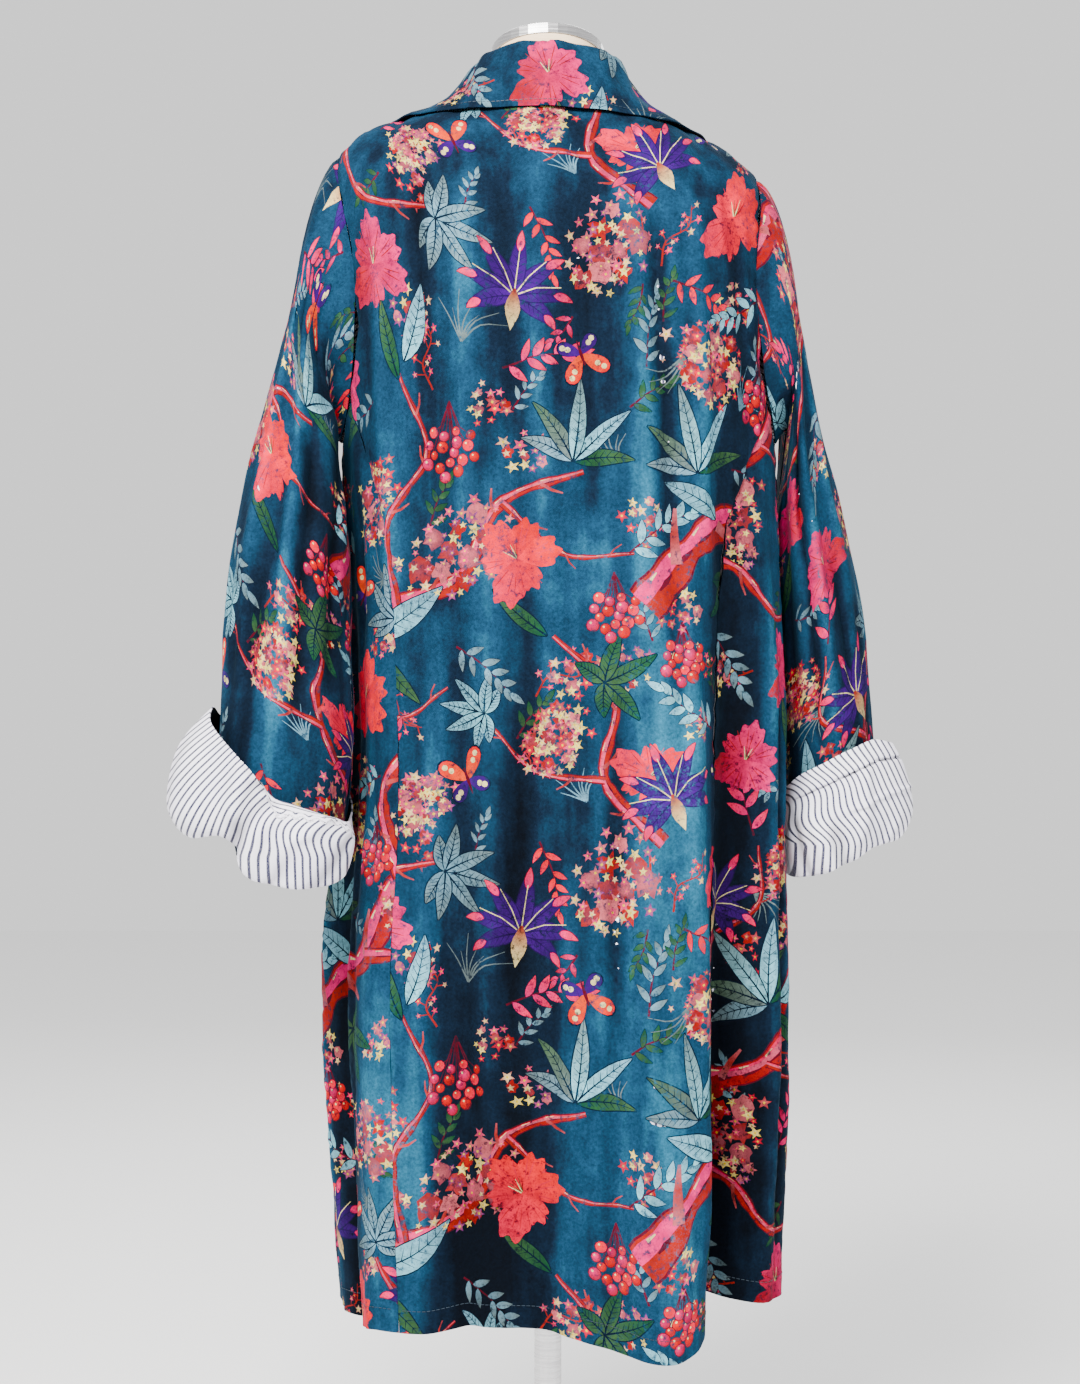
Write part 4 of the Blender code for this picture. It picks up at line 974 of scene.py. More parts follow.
MAKERS = {
    "bloom_coral": lambda s: bloom(s, "hot", "coral"),
    "bloom_pink": lambda s: bloom(s, "brick", "rose"),
    "lily": star_lily,
    "hand_pale": lambda s: rosette(7, s, s * 0.26, "pale", "mist"),
    "hand_sage": lambda s: rosette(7, s, s * 0.25, "mist", "sage"),
    "hand_green": lambda s: rosette(5, s, s * 0.28, "olive", "moss"),
    "spray_pale": lambda s: spray(9, s, s * 0.30, "pale", "mist"),
    "spray_sage": lambda s: spray(9, s, s * 0.28, "mist", "sage"),
    "spray_rose": lambda s: spray(8, s, s * 0.30, "rose", "hot"),
    "spray_coral": lambda s: spray(9, s, s * 0.24, "coral", "hot"),
    "long_pale": lambda s: leaf(s, s * 0.30, 0.22, "pale", "mist"),
    "long_green": lambda s: leaf(s, s * 0.22, -0.18, "moss", "olive"),
    "berries": lambda s: berries(17, s),
    "blossom_warm": lambda s: blossom(58, s, WARM),
    "blossom_soft": lambda s: blossom(50, s, SOFT),
    "petals_warm": lambda s: blossom(13, s * 0.55, WARM),
    "petals_soft": lambda s: blossom(12, s * 0.50, SOFT),
    "trail": lambda s: trail(11, s * 1.5, s * 0.13),
    "fan": fan,
    "tuft_mist": lambda s: tuft(7, s, "mist"),
    "tuft_sage": lambda s: tuft(7, s, "sage"),
    "sprig_mist": lambda s: spray(7, s, s * 0.34, "mist", "sage"),
    "sprig_moss": lambda s: spray(7, s, s * 0.36, "olive", "moss"),
    "sprig_rose": lambda s: spray(5, s * 0.8, s * 0.34, "rose", "brick"),
    "butterfly": butterfly,
}

Branch = namedtuple("Branch", "start end points")
BRANCHES = named(Branch, [
    (0.034, 0.017, [
        (-0.02, 0.02), (0.05, 0.09), (0.13, 0.12), (0.17, 0.20), (0.26, 0.24), (0.33, 0.33),
    ]),
    (0.017, 0.005, [(0.33, 0.33), (0.40, 0.36), (0.44, 0.43), (0.52, 0.46)]),
    (0.018, 0.005, [(0.17, 0.20), (0.14, 0.28), (0.19, 0.36), (0.15, 0.44)]),
    (0.013, 0.004, [(0.13, 0.12), (0.22, 0.12), (0.28, 0.07), (0.37, 0.08)]),
    (0.009, 0.003, [(0.33, 0.33), (0.32, 0.41), (0.36, 0.48), (0.33, 0.55)]),
    (0.012, 0.004, [(0.60, 0.10), (0.54, 0.16), (0.55, 0.24), (0.49, 0.30)]),
    (0.006, 0.002, [(0.54, 0.16), (0.47, 0.17), (0.42, 0.22)]),
    (0.006, 0.002, [(0.44, 0.43), (0.50, 0.38), (0.57, 0.38)]),
    (0.006, 0.002, [(0.19, 0.36), (0.25, 0.40), (0.25, 0.46)]),
    (0.005, 0.002, [(0.26, 0.24), (0.33, 0.22), (0.38, 0.25)]),
])

Spot = namedtuple("Spot", "kind x y turn size")
SPOTS = named(Spot, [
    ("fan", 0.040, 0.150, 84, 0.078),
    ("fan", 0.262, 0.300, 112, 0.088),
    ("hand_green", 0.095, 0.045, -70, 0.060),
    ("fan", 0.510, 0.470, 66, 0.076),
    ("hand_sage", 0.375, 0.070, -12, 0.062),
    ("hand_green", 0.540, 0.255, 20, 0.058),
    ("hand_sage", 0.150, 0.455, 100, 0.056),
    ("hand_pale", 0.420, 0.225, 168, 0.050),
    ("long_pale", 0.300, 0.300, 20, 0.090),
    ("long_green", 0.285, 0.290, -30, 0.086),
    ("long_pale", 0.070, 0.105, 140, 0.074),
    ("long_green", 0.485, 0.300, 150, 0.070),
    ("long_pale", 0.335, 0.560, 62, 0.070),
    ("long_green", 0.330, 0.545, 118, 0.066),
    ("spray_rose", 0.245, 0.470, 96, 0.080),
    ("spray_pale", 0.565, 0.380, 30, 0.078),
    ("spray_coral", 0.020, 0.330, -35, 0.076),
    ("spray_sage", 0.190, 0.060, -58, 0.078),
    ("spray_rose", 0.440, 0.560, 10, 0.076),
    ("spray_pale", 0.065, 0.520, 150, 0.076),
    ("spray_coral", 0.475, 0.100, -75, 0.070),
    ("spray_sage", 0.390, 0.290, -40, 0.072),
    ("spray_rose", 0.300, 0.150, 65, 0.062),
    ("spray_pale", 0.135, 0.300, 190, 0.066),
    ("spray_sage", 0.585, 0.560, 75, 0.070),
    ("blossom_warm", 0.205, 0.170, 10, 0.052),
    ("blossom_soft", 0.395, 0.385, 40, 0.050),
    ("blossom_warm", 0.060, 0.250, -20, 0.042),
    ("blossom_soft", 0.550, 0.060, 70, 0.046),
    ("blossom_warm", 0.290, 0.440, 30, 0.036),
    ("blossom_soft", 0.140, 0.560, 0, 0.044),
    ("blossom_warm", 0.490, 0.200, 60, 0.034),
    ("blossom_soft", 0.350, 0.140, 15, 0.030),
    ("bloom_coral", 0.100, 0.375, 20, 0.050),
    ("bloom_coral", 0.455, 0.375, 70, 0.046),
    ("bloom_pink", 0.300, 0.015, 40, 0.044),
    ("bloom_pink", 0.235, 0.545, 10, 0.042),
    ("bloom_coral", 0.585, 0.165, -30, 0.040),
    ("lily", 0.455, 0.010, 80, 0.062),
    ("lily", 0.200, 0.400, 60, 0.056),
    ("lily", 0.010, 0.450, 115, 0.058),
    ("berries", 0.385, 0.480, 0, 0.032),
    ("berries", 0.130, 0.215, 0, 0.026),
    ("berries", 0.550, 0.320, 0, 0.028),
    ("berries", 0.020, 0.585, 0, 0.026),
    ("butterfly", 0.400, 0.160, 24, 0.034),
    ("butterfly", 0.090, 0.480, -30, 0.030),
    ("butterfly", 0.520, 0.575, 200, 0.032),
])


# The small motifs that fill the ground between and behind the others
FILLERS = (
    "sprig_mist", "petals_warm", "tuft_sage", "sprig_moss", "trail", "petals_soft", "sprig_mist",
    "tuft_mist", "petals_warm", "sprig_rose", "sprig_moss", "trail", "petals_soft",
)
FILL_COLUMNS = 11
FILL_ROWS = 11
FILL_SHARE = 0.40


def fill_shapes():
    """Small motifs on a loose grid that leaves some ground bare."""
    shapes = []
    kind = 0
    for i in range(FILL_COLUMNS):
        for k in range(FILL_ROWS):
            x = (i + 0.5 + random.uniform(-0.36, 0.36)) * TILE_WIDTH / FILL_COLUMNS
            y = (k + 0.5 + random.uniform(-0.36, 0.36)) * TILE_HEIGHT / FILL_ROWS
            turn = random.uniform(0, 2 * math.pi)
            if random.random() < FILL_SHARE:
                kind += 1
                made = MAKERS[FILLERS[kind % len(FILLERS)]](random.uniform(0.036, 0.050))
                shapes += placed(made, x, y, turn)
    return shapes


def print_tile():
    shapes = fill_shapes()
    for row in BRANCHES:
        shapes += branch(row.points, row.start, row.end)
    for spot in SPOTS:
        made = MAKERS[spot.kind](spot.size)
        shapes += placed(made, spot.x, spot.y, math.radians(spot.turn))
    for shape in shapes:
        shape.outline = thinned(shape.outline, THIN)
        shape.low, shape.high = shape.outline.min(0), shape.outline.max(0)
    return shapes


def thinned(outline, least, fewest=5):
    """An outline without the points that stand off the line between their neighbours by least area."""
    points = [np.array(point) for point in outline]
    while len(points) > fewest:
        ring = np.array(points)
        before = np.roll(ring, 1, 0) - ring
        after = np.roll(ring, -1, 0) - ring
        areas = np.abs(before[:, 0] * after[:, 1] - before[:, 1] * after[:, 0]) / 2
        order = np.argsort(areas, kind="stable")
        drop = set()
        for k in order:
            if areas[k] > least or len(points) - len(drop) <= fewest:
                break
            if (k - 1) % len(points) in drop or (k + 1) % len(points) in drop:
                continue
            drop.add(int(k))
        if not drop:
            break
        points = [point for k, point in enumerate(points) if k not in drop]
    return np.array(points)


def print_over(tile, low, high, slide):
    """The tile's shapes that touch a box of flat cloth, v down, with the print slid along it."""
    found = []
    lows = np.array([shape.low for shape in tile])
    highs = np.array([shape.high for shape in tile])
    flip = np.array([1.0, -1.0])
    for column in range(-4, 5):
        for row in range(-4, 5):
            half_drop = 0.5 * TILE_HEIGHT if column % 2 else 0.0
            move = np.array([column * TILE_WIDTH + slide[0], row * TILE_HEIGHT + half_drop + slide[1]])
            left, bottom = (lows + move).T
            right, top = (highs + move).T
            near = (right > low[0]) & (left < high[0]) & (-bottom > low[1]) & (-top < high[1])
            for index in np.nonzero(near)[0]:
                shape = tile[index]
                found.append(((shape.outline + move) * flip, (shape.centre + move) * flip, shape))
    return found


def screen_to_light(colour):
    """A screen colour as light, made somewhat deeper."""
    light = [c / 12.92 if c <= 0.04045 else ((c + 0.055) / 1.055) ** 2.4 for c in colour]
    grey = 0.30 * light[0] + 0.59 * light[1] + 0.11 * light[2]
    return tuple(min(max(grey + (c - grey) * INK_DEPTH, 0.002), 0.95) * INK_GAIN for c in light)


BODY_PANELS = ("back", "side_back_left", "side_back_right", "front_left", "front_right")
CUFF_CRUMPLES = {"cuff_" + arm.word: arm.crumples for arm in ARMS}
INK_LIGHT = {name: np.array(screen_to_light(colour)) for name, colour in INKS.items()}


# Cutting a flat piece and laying it on its shape


def grid_normals(points):
    down, across = np.gradient(points, axis=0), np.gradient(points, axis=1)
    return unit(np.cross(down, across))


def sheet_waves(u, v):
    """The slight unevenness of cloth that isn't pressed, mostly along its length."""
    wave = np.zeros(np.broadcast(u, v).shape)
    for k, (wide, long, depth) in enumerate(WAVES):
        lean = 0.35 * np.sin(1.7 * k) * v
        wave = wave + depth * np.sin(2 * np.pi * (u + lean) / wide + 2.1 * k) * np.sin(
            2 * np.pi * v / long + 1.3 * k
        )
    return wave


class Piece:
    """One piece of cloth: a curved sheet and its flat pattern, u across and v down, in metres."""

    def __init__(self, name, shape, across, down, middle, step, sides=(), outward=1.0, thickness=CLOTH):
        self.name, self.across, self.down, self.middle = name, across, down, middle
        self.step, self.outward, self.thickness = step, outward, thickness
        grid_down, grid_across = np.meshgrid(down, across, indexing="ij")
        points = shape(grid_across, grid_down)
        width = np.cumsum(np.linalg.norm(np.diff(points, axis=1), axis=-1), axis=1)
        width = np.hstack([np.zeros((len(down), 1)), width])
        self.u = width - np.array([np.interp(middle, across, row) for row in width])[:, None]
        fall = np.linalg.norm(np.diff(points, axis=0), axis=-1)
        column = int(np.argmin(np.abs(across - middle)))
        fall = fall.mean(axis=1) if name.startswith("sleeve") else fall[:, column]
        self.v = np.concatenate([[0.0], np.cumsum(fall)])
        lengths = np.linalg.norm(np.diff(points, axis=0), axis=-1).cumsum(axis=0)
        self.below_edge = lengths[-1] - np.vstack([np.zeros((1, len(across))), lengths])
        self.u_axis = np.linspace(self.u.min(), self.u.max(), 700)
        self.across_at = np.array([np.interp(self.u_axis, row, across) for row in self.u])
        normals = grid_normals(points) * outward
        if not name.startswith("cuff"):
            points = points + normals * sheet_waves(self.u, self.v[:, None])[..., None]
        near = np.full(self.u.shape, 1.0)
        for edge in sides:
            at = edge(down)
            seam = np.array([np.interp(a, across, row) for a, row in zip(at, self.u)])
            near = np.minimum(near, np.abs(self.u - seam[:, None]))
        wave = np.sin(grid_down * 210.0) + 0.7 * np.sin(grid_down * 337.0 + 1.3)
        dip = SEAM_DIP * np.exp(-((near / SEAM_REACH) ** 2)) + PUCKER * wave * np.exp(-near / PUCKER_REACH)
        if sides:
            points = points - normals * dip[..., None]
        self.points, self.normals = points, grid_normals(points) * outward
        raised = self.raised(grid_across, grid_down)
        # Painted light and shade: lighter where the cloth stands out, darker in its troughs and creases
        self.fold_shading_grid = FOLD_SHADING_LEVEL + FOLD_SHADING_REACH * np.tanh(raised / FOLD_SHADING_RIDGE)

    def raised(self, across, down):
        """How far the cloth stands out there, which sets its painted light and shade: lighter on ridges,
        darker in troughs and creases.
        """
        if self.name in BODY_PANELS:
            folds = fold_push(across, down)[0] * FOLD_SHADING_FOLD_SHARE
            return folds + crease_push(CREASES, across, down)
        creases = ARM_CREASES if self.name.startswith("sleeve") else CUFF_CRUMPLES.get(self.name, [])
        return crease_push(creases, across, down)

    def set_outline(self, outline):
        self.edge_across, self.edge_down = outline
        row = np.interp(self.edge_down, self.down, np.arange(len(self.down)))
        low = np.clip(np.floor(row).astype(int), 0, len(self.down) - 2)
        share = row - low
        rows = [
            [np.interp(a, self.across, self.u[i + k]) for a, i in zip(self.edge_across, low)]
            for k in (0, 1)
        ]
        u = np.array(rows[0]) * (1 - share) + np.array(rows[1]) * share
        self.outline = np.stack([u, np.interp(self.edge_down, self.down, self.v)], axis=-1)

    def cloth(self, flat):
        """The cloth's own two numbers at points of the flat pattern."""
        row = np.interp(flat[:, 1], self.v, np.arange(len(self.v)))
        place = (flat[:, 0] - self.u_axis[0]) / (self.u_axis[1] - self.u_axis[0])
        return between(self.across_at, row, place), np.interp(flat[:, 1], self.v, self.down)

    def cell(self, across, down):
        """The row and the column of the cloth's tables there."""
        row = (down - self.down[0]) / (self.down[1] - self.down[0])
        return row, (across - self.across[0]) / (self.across[1] - self.across[0])

    def lay(self, across, down):
        """Points in the middle of the cloth, the way that its outside faces, and its painted fold shading.
        """
        cell = self.cell(across, down)
        return between(self.points, *cell), unit(between(self.normals, *cell)), between(self.fold_shading_grid, *cell)

    def stripe(self, flat):
        """The number of the lining's stripe at flat points. A twisted cuff's stripes slant."""
        if not self.name.startswith("cuff"):
            return flat[:, 0] / STRIPE
        across, down = self.cloth(flat)
        cell = self.cell(across, down)
        place = between(self.points, *cell)
        high = np.clip(place[:, 2] - CUFF_FOOT, 0, 1)
        spacing, lean, curl = CUFF_STRIPES[self.name]
        sway = smooth_rows(CUFF_SWAYS[self.name], across % 360.0)[..., 1]
        waves = sway * np.sin(high * 105 + across * 0.05)
        lines = (place[:, 0] - lean * high - curl * high * high) / spacing + waves
        if self.name == "cuff_left":
            edge = between(self.below_edge, *cell)
            band = (edge < CUFF_BAND * np.clip((across - 84) / 12, 0, 1)) & (across < 150)
            lines = np.where(band, edge / CUFF_BAND_STRIPE + 0.3, lines)
        return lines


def between(table, row, column):
    """A table's values between its rows and columns."""
    row = np.clip(row, 0, table.shape[0] - 1.001)
    column = np.clip(column, 0, table.shape[1] - 1.001)
    i, j = np.floor(row).astype(int), np.floor(column).astype(int)
    down, across = row - i, column - j
    if table.ndim == 3:
        down, across = down[:, None], across[:, None]
    upper = table[i, j] * (1 - across) + table[i, j + 1] * across
    lower = table[i + 1, j] * (1 - across) + table[i + 1, j + 1] * across
    return upper * (1 - down) + lower * down


def grid_points(low, high, step, busy):
    """Points of an even grid, apart from those that crowd the busy ones."""
    rows = np.arange(low[1] + step / 2, high[1], step * 0.87)
    points = []
    for i, v in enumerate(rows):
        u = np.arange(low[0] + (0.25 if i % 2 else 0.75) * step, high[0], step)
        points.append(np.stack([u, np.full(len(u), v)], axis=-1))
    points = np.vstack(points)
    cell, wide = step * 0.30, 100000

    def cell_number(spots, du=0, dv=0):
        cells = np.floor(spots / cell).astype(np.int64)
        return (cells[:, 0] + du) * wide + cells[:, 1] + dv

    steps = (-1, 0, 1)
    taken = [cell_number(busy, du, dv) for du in steps for dv in steps]
    return points[~np.isin(cell_number(points), np.unique(np.concatenate(taken)))]


def inside(outline, points):
    """Which points lie in a closed outline."""
    x, y = points[:, 0], points[:, 1]
    ax, ay = outline.T[:, :, None]
    bx, by = np.roll(outline, -1, axis=0).T[:, :, None]
    crosses = (ay > y) != (by > y)
    level = (bx - ax) * (y - ay) / (by - ay + 1e-15) + ax
    return np.count_nonzero(crosses & (x < level), axis=0) % 2 == 1


def signed_area(outline):
    x, y = outline[:, 0], outline[:, 1]
    return 0.5 * (np.dot(x, np.roll(y, -1)) - np.dot(y, np.roll(x, -1)))


def cut_flat(outline, prints, step):
    """Triangles of a flat piece, cut along the edges of its print, and each triangle's shape."""
    low, high = outline.min(0), outline.max(0)
    crowd = np.vstack([outline] + [shape[0] for shape in prints])
    grid = grid_points(low, high, step, crowd)
    grid = grid[inside(outline, grid)]
    whole = list(range(len(outline)))
    if signed_area(outline) < 0:
        whole.reverse()
    points, edges = [outline], []
    start = len(outline)
    for ring, _, _ in prints:
        count = len(ring)
        edges += [(start + i, start + (i + 1) % count) for i in range(count)]
        points.append(ring)
        start += count
    points.append(grid)
    vectors = [Vector(p) for p in np.vstack(points)]
    verts, _, tris, origins, _, parents = delaunay_2d_cdt(vectors, edges, [whole], 0, 1e-6, True)
    flat = np.array([tuple(v) for v in verts])
    corners = np.array([tri for tri, parent in zip(tris, parents) if parent])
    a, b, c = flat[corners[:, 0]], flat[corners[:, 1]], flat[corners[:, 2]]
    turn = (b - a)[:, 0] * (c - a)[:, 1] - (b - a)[:, 1] * (c - a)[:, 0]
    corners[turn > 0] = corners[turn > 0][:, ::-1]
    middles = (a + b + c) / 3
    order = np.argsort(middles[:, 1])
    heights = middles[order, 1]
    tops = np.full(len(corners), -1)
    for index, (ring, _, _) in enumerate(prints):
        first, last = np.searchsorted(heights, (ring[:, 1].min(), ring[:, 1].max()))
        near = order[first:last]
        x = middles[near, 0]
        near = near[(x > ring[:, 0].min()) & (x < ring[:, 0].max())]
        tops[near[inside(ring, middles[near])]] = index
    used = np.unique(corners)
    renumber = np.full(len(flat), -1)
    renumber[used] = np.arange(len(used))
    return flat[used], renumber[corners], tops, [origins[i] for i in used]


def rim_loop(corners):
    """The edge of a piece as one ordered loop of its points."""
    first = corners.ravel()
    second = np.roll(corners, -1, axis=1).ravel()
    size = corners.max() + 1
    alone = ~np.isin(first * size + second, second * size + first)
    after = dict(zip(first[alone].tolist(), second[alone].tolist()))
    loop = [next(iter(after))]
    while after[loop[-1]] != loop[0]:
        loop.append(after[loop[-1]])
        if len(loop) > len(after):
            raise ValueError("the piece's edge isn't one loop")
    return loop


def make_cloth(piece, prints, materials, lining_step):
    """A closed wall of cloth: the printed face outside, a plain lining inside and a rim between."""
    flat, corners, tops, origins = cut_flat(piece.outline, prints, piece.step)
    across, down = piece.cloth(flat)
    for i, origin in enumerate(origins):
        if origin and origin[0] < len(piece.outline):
            across[i], down[i] = piece.edge_across[origin[0]], piece.edge_down[origin[0]]
    middle, normal, nap = piece.lay(across, down)
    rim = rim_loop(corners)
    back_flat, back_corners, _, back_origins = cut_flat(flat[rim], [], lining_step)
    back_across, back_down = piece.cloth(back_flat)
    home = {}
    for i, origin in enumerate(back_origins):
        for k in origin:
            if k < len(rim):
                home[k] = i
                back_across[i], back_down[i] = across[rim[k]], down[rim[k]]
    back_middle, back_normal, back_fold_shading = piece.lay(back_across, back_down)
    count = len(flat)
    half = piece.thickness / 2
    verts = np.vstack([middle + normal * half, back_middle - back_normal * half])
    faces = corners.tolist()
    faces += (back_corners[:, ::-1] + count).tolist()
    front_count, sides_count = len(corners), len(faces)
    for i in range(len(rim)):
        k = (i + 1) % len(rim)
        if i in home and k in home:
            a, b = rim[i], rim[k]
            c, d = home[k] + count, home[i] + count
            faces += [(b, a, d), (b, d, c)]
    if piece.outward < 0:
        faces = [face[::-1] for face in faces]
    mesh = bpy.data.meshes.new(piece.name)
    mesh.from_pydata(verts.tolist(), [], faces)
    paint(mesh, prints, tops, flat)
    lay_out(mesh, piece, flat, back_flat, sides_count)
    # The painted light and shade of each point: lighter on ridges, darker in troughs and creases
    nap = np.concatenate([nap, back_fold_shading]).astype(np.float32)
    mesh.attributes.new("nap", "FLOAT", "POINT").data.foreach_set("value", nap)
    for material in materials:
        mesh.materials.append(material)
    slots = np.zeros(len(faces), np.int32)
    slots[front_count:sides_count] = 1
    mesh.polygons.foreach_set("material_index", slots)
    mesh.shade_smooth()
    mesh.normals_split_custom_set_from_vertices(np.vstack([normal, -back_normal]).tolist())
    return added(piece.name, mesh)


def paint(mesh, prints, tops, flat):
    """Stores each corner's print colour, with how much print there is in its fourth number."""
    colours = np.zeros((len(mesh.loops), 4), np.float32)
    corner_verts = np.empty(len(mesh.loops), np.int32)
    mesh.loops.foreach_get("vertex_index", corner_verts)
    owner = np.repeat(tops, 3)
    at = np.nonzero(owner >= 0)[0]
    if len(at):
        own = owner[at]
        centres = np.array([centre for _, centre, _ in prints])
        reach = np.array([shape.reach for _, _, shape in prints])
        vary = 1 + INK_VARY * np.sin(np.arange(len(prints)) * 12.9898)[:, None]
        near = np.array([INK_LIGHT[shape.near] for _, _, shape in prints]) * vary
        far = np.array([INK_LIGHT[shape.far] for _, _, shape in prints]) * vary
        away = np.linalg.norm(flat[corner_verts[at]] - centres[own], axis=-1) / reach[own]
        share = np.clip(away, 0, 1)[:, None]
        colours[at, :3] = near[own] * (1 - share) + far[own] * share
        colours[at, 3] = 1.0
    layer = mesh.color_attributes.new("print", "FLOAT_COLOR", "CORNER")
    layer.data.foreach_set("color", colours.ravel())


def lay_out(mesh, piece, flat, back_flat, sides_count):
    """A map that fills a square for baking, and one whose u counts the lining's stripes. The rim's
    triangles come after those of the two sides."""
    count = len(flat)
    low, high = flat.min(0), flat.max(0)
    both = np.vstack([flat, back_flat])
    square = (both - low) / (high - low)
    square[:, 1] = 1 - square[:, 1]
    for side, (start, width) in ((slice(0, count), BAKED_FRONT), (slice(count, None), BAKED_LINING)):
        square[side, 0] = start + square[side, 0] * width
    corner_verts = np.empty(len(mesh.loops), np.int32)
    mesh.loops.foreach_get("vertex_index", corner_verts)
    baked = mesh.uv_layers.new(name="OFBake")
    rim_start = sides_count * 3
    spots = square[corner_verts]
    rim = corner_verts[rim_start:]
    wrapped = rim >= count
    spots[rim_start:][wrapped, 0] = BAKED_RIM
    baked.data.foreach_set("uv", spots.astype(np.float32).ravel())
    stripes = mesh.uv_layers.new(name="stripes")
    phase = np.stack([piece.stripe(both), both[:, 1]], axis=-1)
    stripes.data.foreach_set("uv", phase[corner_verts].astype(np.float32).ravel())
    mesh.uv_layers.active = baked
    baked.active_render = True


# The jacket's pieces


def back_edge(run):
    run = np.asarray(run, float)
    upper = SIDE_ANGLE - armhole_half(run)
    return np.where(run <= PRINCESS[0].run, upper, station_angle(PRINCESS, run))


def princess_edge(run):
    return station_angle(PRINCESS, np.asarray(run, float))


def front_edge(run):
    return station_angle(FRONT_EDGE, np.asarray(run, float))


def panel_runs(start):
    """Rows of a panel's edge, closer together round the armhole's ends."""
    hole = ARMHOLE_MIDDLE - ARMHOLE_REACH * np.cos(np.linspace(0, math.pi, ARMHOLE_ROWS))
    above = np.arange(0, ARMHOLE_TOP_RUN, EDGE_STEP)
    below = np.arange(ARMHOLE_BOTTOM_RUN + EDGE_STEP, HEM_RUN, EDGE_STEP)
    runs = np.concatenate([above, hole, below, [PRINCESS[0].run, HEM_RUN]])
    runs = np.unique(np.round(runs, 6))
    return runs[runs >= start]


def panel_outline(low, high, start=0.0):
    """The edge of a body panel between two edges, less its seam gap, as angles and runs."""
    runs = panel_runs(start)
    edges = []
    for edge, way in ((low, 1.0), (high, -1.0)):
        at = edge(runs)
        wide = creased_body(at + 0.2, runs) - creased_body(at - 0.2, runs)
        edges.append(at + way * 0.4 * (SEAM_GAP / 2) / np.linalg.norm(wide, axis=-1))
    left, right = edges
    ends = []
    for i in (-1, 0):
        wide = np.linalg.norm(creased_body(right[i], runs[i]) - creased_body(left[i], runs[i]))
        count = max(int(wide * 1.3 / EDGE_STEP), 3)
        ends.append(np.linspace(left[i], right[i], count)[1:-1])
    hem, top = ends
    across = np.concatenate([left, hem, right[::-1], top[::-1]])
    run = np.concatenate([
        runs, np.full(len(hem), runs[-1]), runs[::-1], np.full(len(top), runs[0])
    ])
    return across, run


def sleeve_piece(arm):
    def shape(across, down):
        return sleeve_surface(arm.side, arm.rings, down, np.radians(across))

    down = np.linspace(0, 1, SLEEVE_ROWS)
    piece = Piece("sleeve_" + arm.word, shape, ROUND_ACROSS, down, 0.0, SLEEVE_GRID, (), -arm.side)
    piece.set_outline(round_outline(piece, EDGE_STEP))
    return piece


def cuff_piece(arm):
    def shape(across, down):
        around = np.radians(across)
        return cuff_surface(arm.side, arm.rings, arm.stations, arm.crumples, down, around)

    down = np.linspace(0, 1, CUFF_ROWS)
    piece = Piece("cuff_" + arm.word, shape, ROUND_ACROSS, down, 0.0, CUFF_GRID, (), arm.side)
    piece.set_outline(round_outline(piece, EDGE_STEP / 2))
    return piece


def round_outline(piece, step):
    """The edge of a cloth that is bent round and sewn to itself under the arm."""
    down = np.linspace(0, 1, max(int(piece.v[-1] / step), 8))
    edge = 180.0 - 0.15
    around = np.linspace(-edge, edge, max(int(0.45 / step), 8))[1:-1]
    across = np.concatenate([
        np.full(len(down), -edge), around, np.full(len(down), edge), around[::-1]
    ])
    full = np.ones(len(around))
    return across, np.concatenate([down, full, down[::-1], full * 0])


def collar_outline():
    along = np.linspace(-1, 1, 150)
    ends = np.linspace(0, 1, 16)[1:-1]
    full, side = np.ones(len(along)), np.ones(len(ends))
    across = np.concatenate([along, side, along[::-1], -side])
    return across, np.concatenate([full, ends[::-1], full * 0, ends])


def stitch_row(piece, across, down):
    """The corners of stitches in a row on the outside of a cloth, 8 to a stitch."""
    points, normals, _ = piece.lay(across, down)
    points = points + normals * piece.thickness / 2
    at = np.concatenate([[0.0], np.cumsum(np.linalg.norm(np.diff(points, axis=0), axis=-1))])
    starts = np.arange(0.001, at[-1] - STITCH, STITCH + STITCH_GAP)

    def place(table, where):
        return np.stack([np.interp(where, at, table[:, k]) for k in range(3)], axis=-1)

    a, b = place(points, starts), place(points, starts + STITCH)
    up = unit(place(normals, starts + STITCH / 2)) * THREAD
    side = unit(np.cross(b - a, up)) * THREAD * 0.7
    corners = [end + side * s + up * h for end in (a, b) for s, h in ((-1, -1), (1, -1), (1, 1), (-1, 1))]
    return np.stack(corners, axis=1).reshape(-1, 3)


def sew(rows, thread):
    """Every row of stitches in one piece."""
    corners = np.vstack(rows)
    box = ((0, 1, 2, 3), (7, 6, 5, 4), (0, 4, 5, 1), (1, 5, 6, 2), (2, 6, 7, 3), (3, 7, 4, 0))
    faces = [[k + i for k in face] for i in range(0, len(corners), 8) for face in box]
    mesh = bpy.data.meshes.new("topstitching")
    mesh.from_pydata(corners.tolist(), [], faces)
    mesh.materials.append(thread)
    thing = added("topstitching", mesh)
    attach(thing, "root")


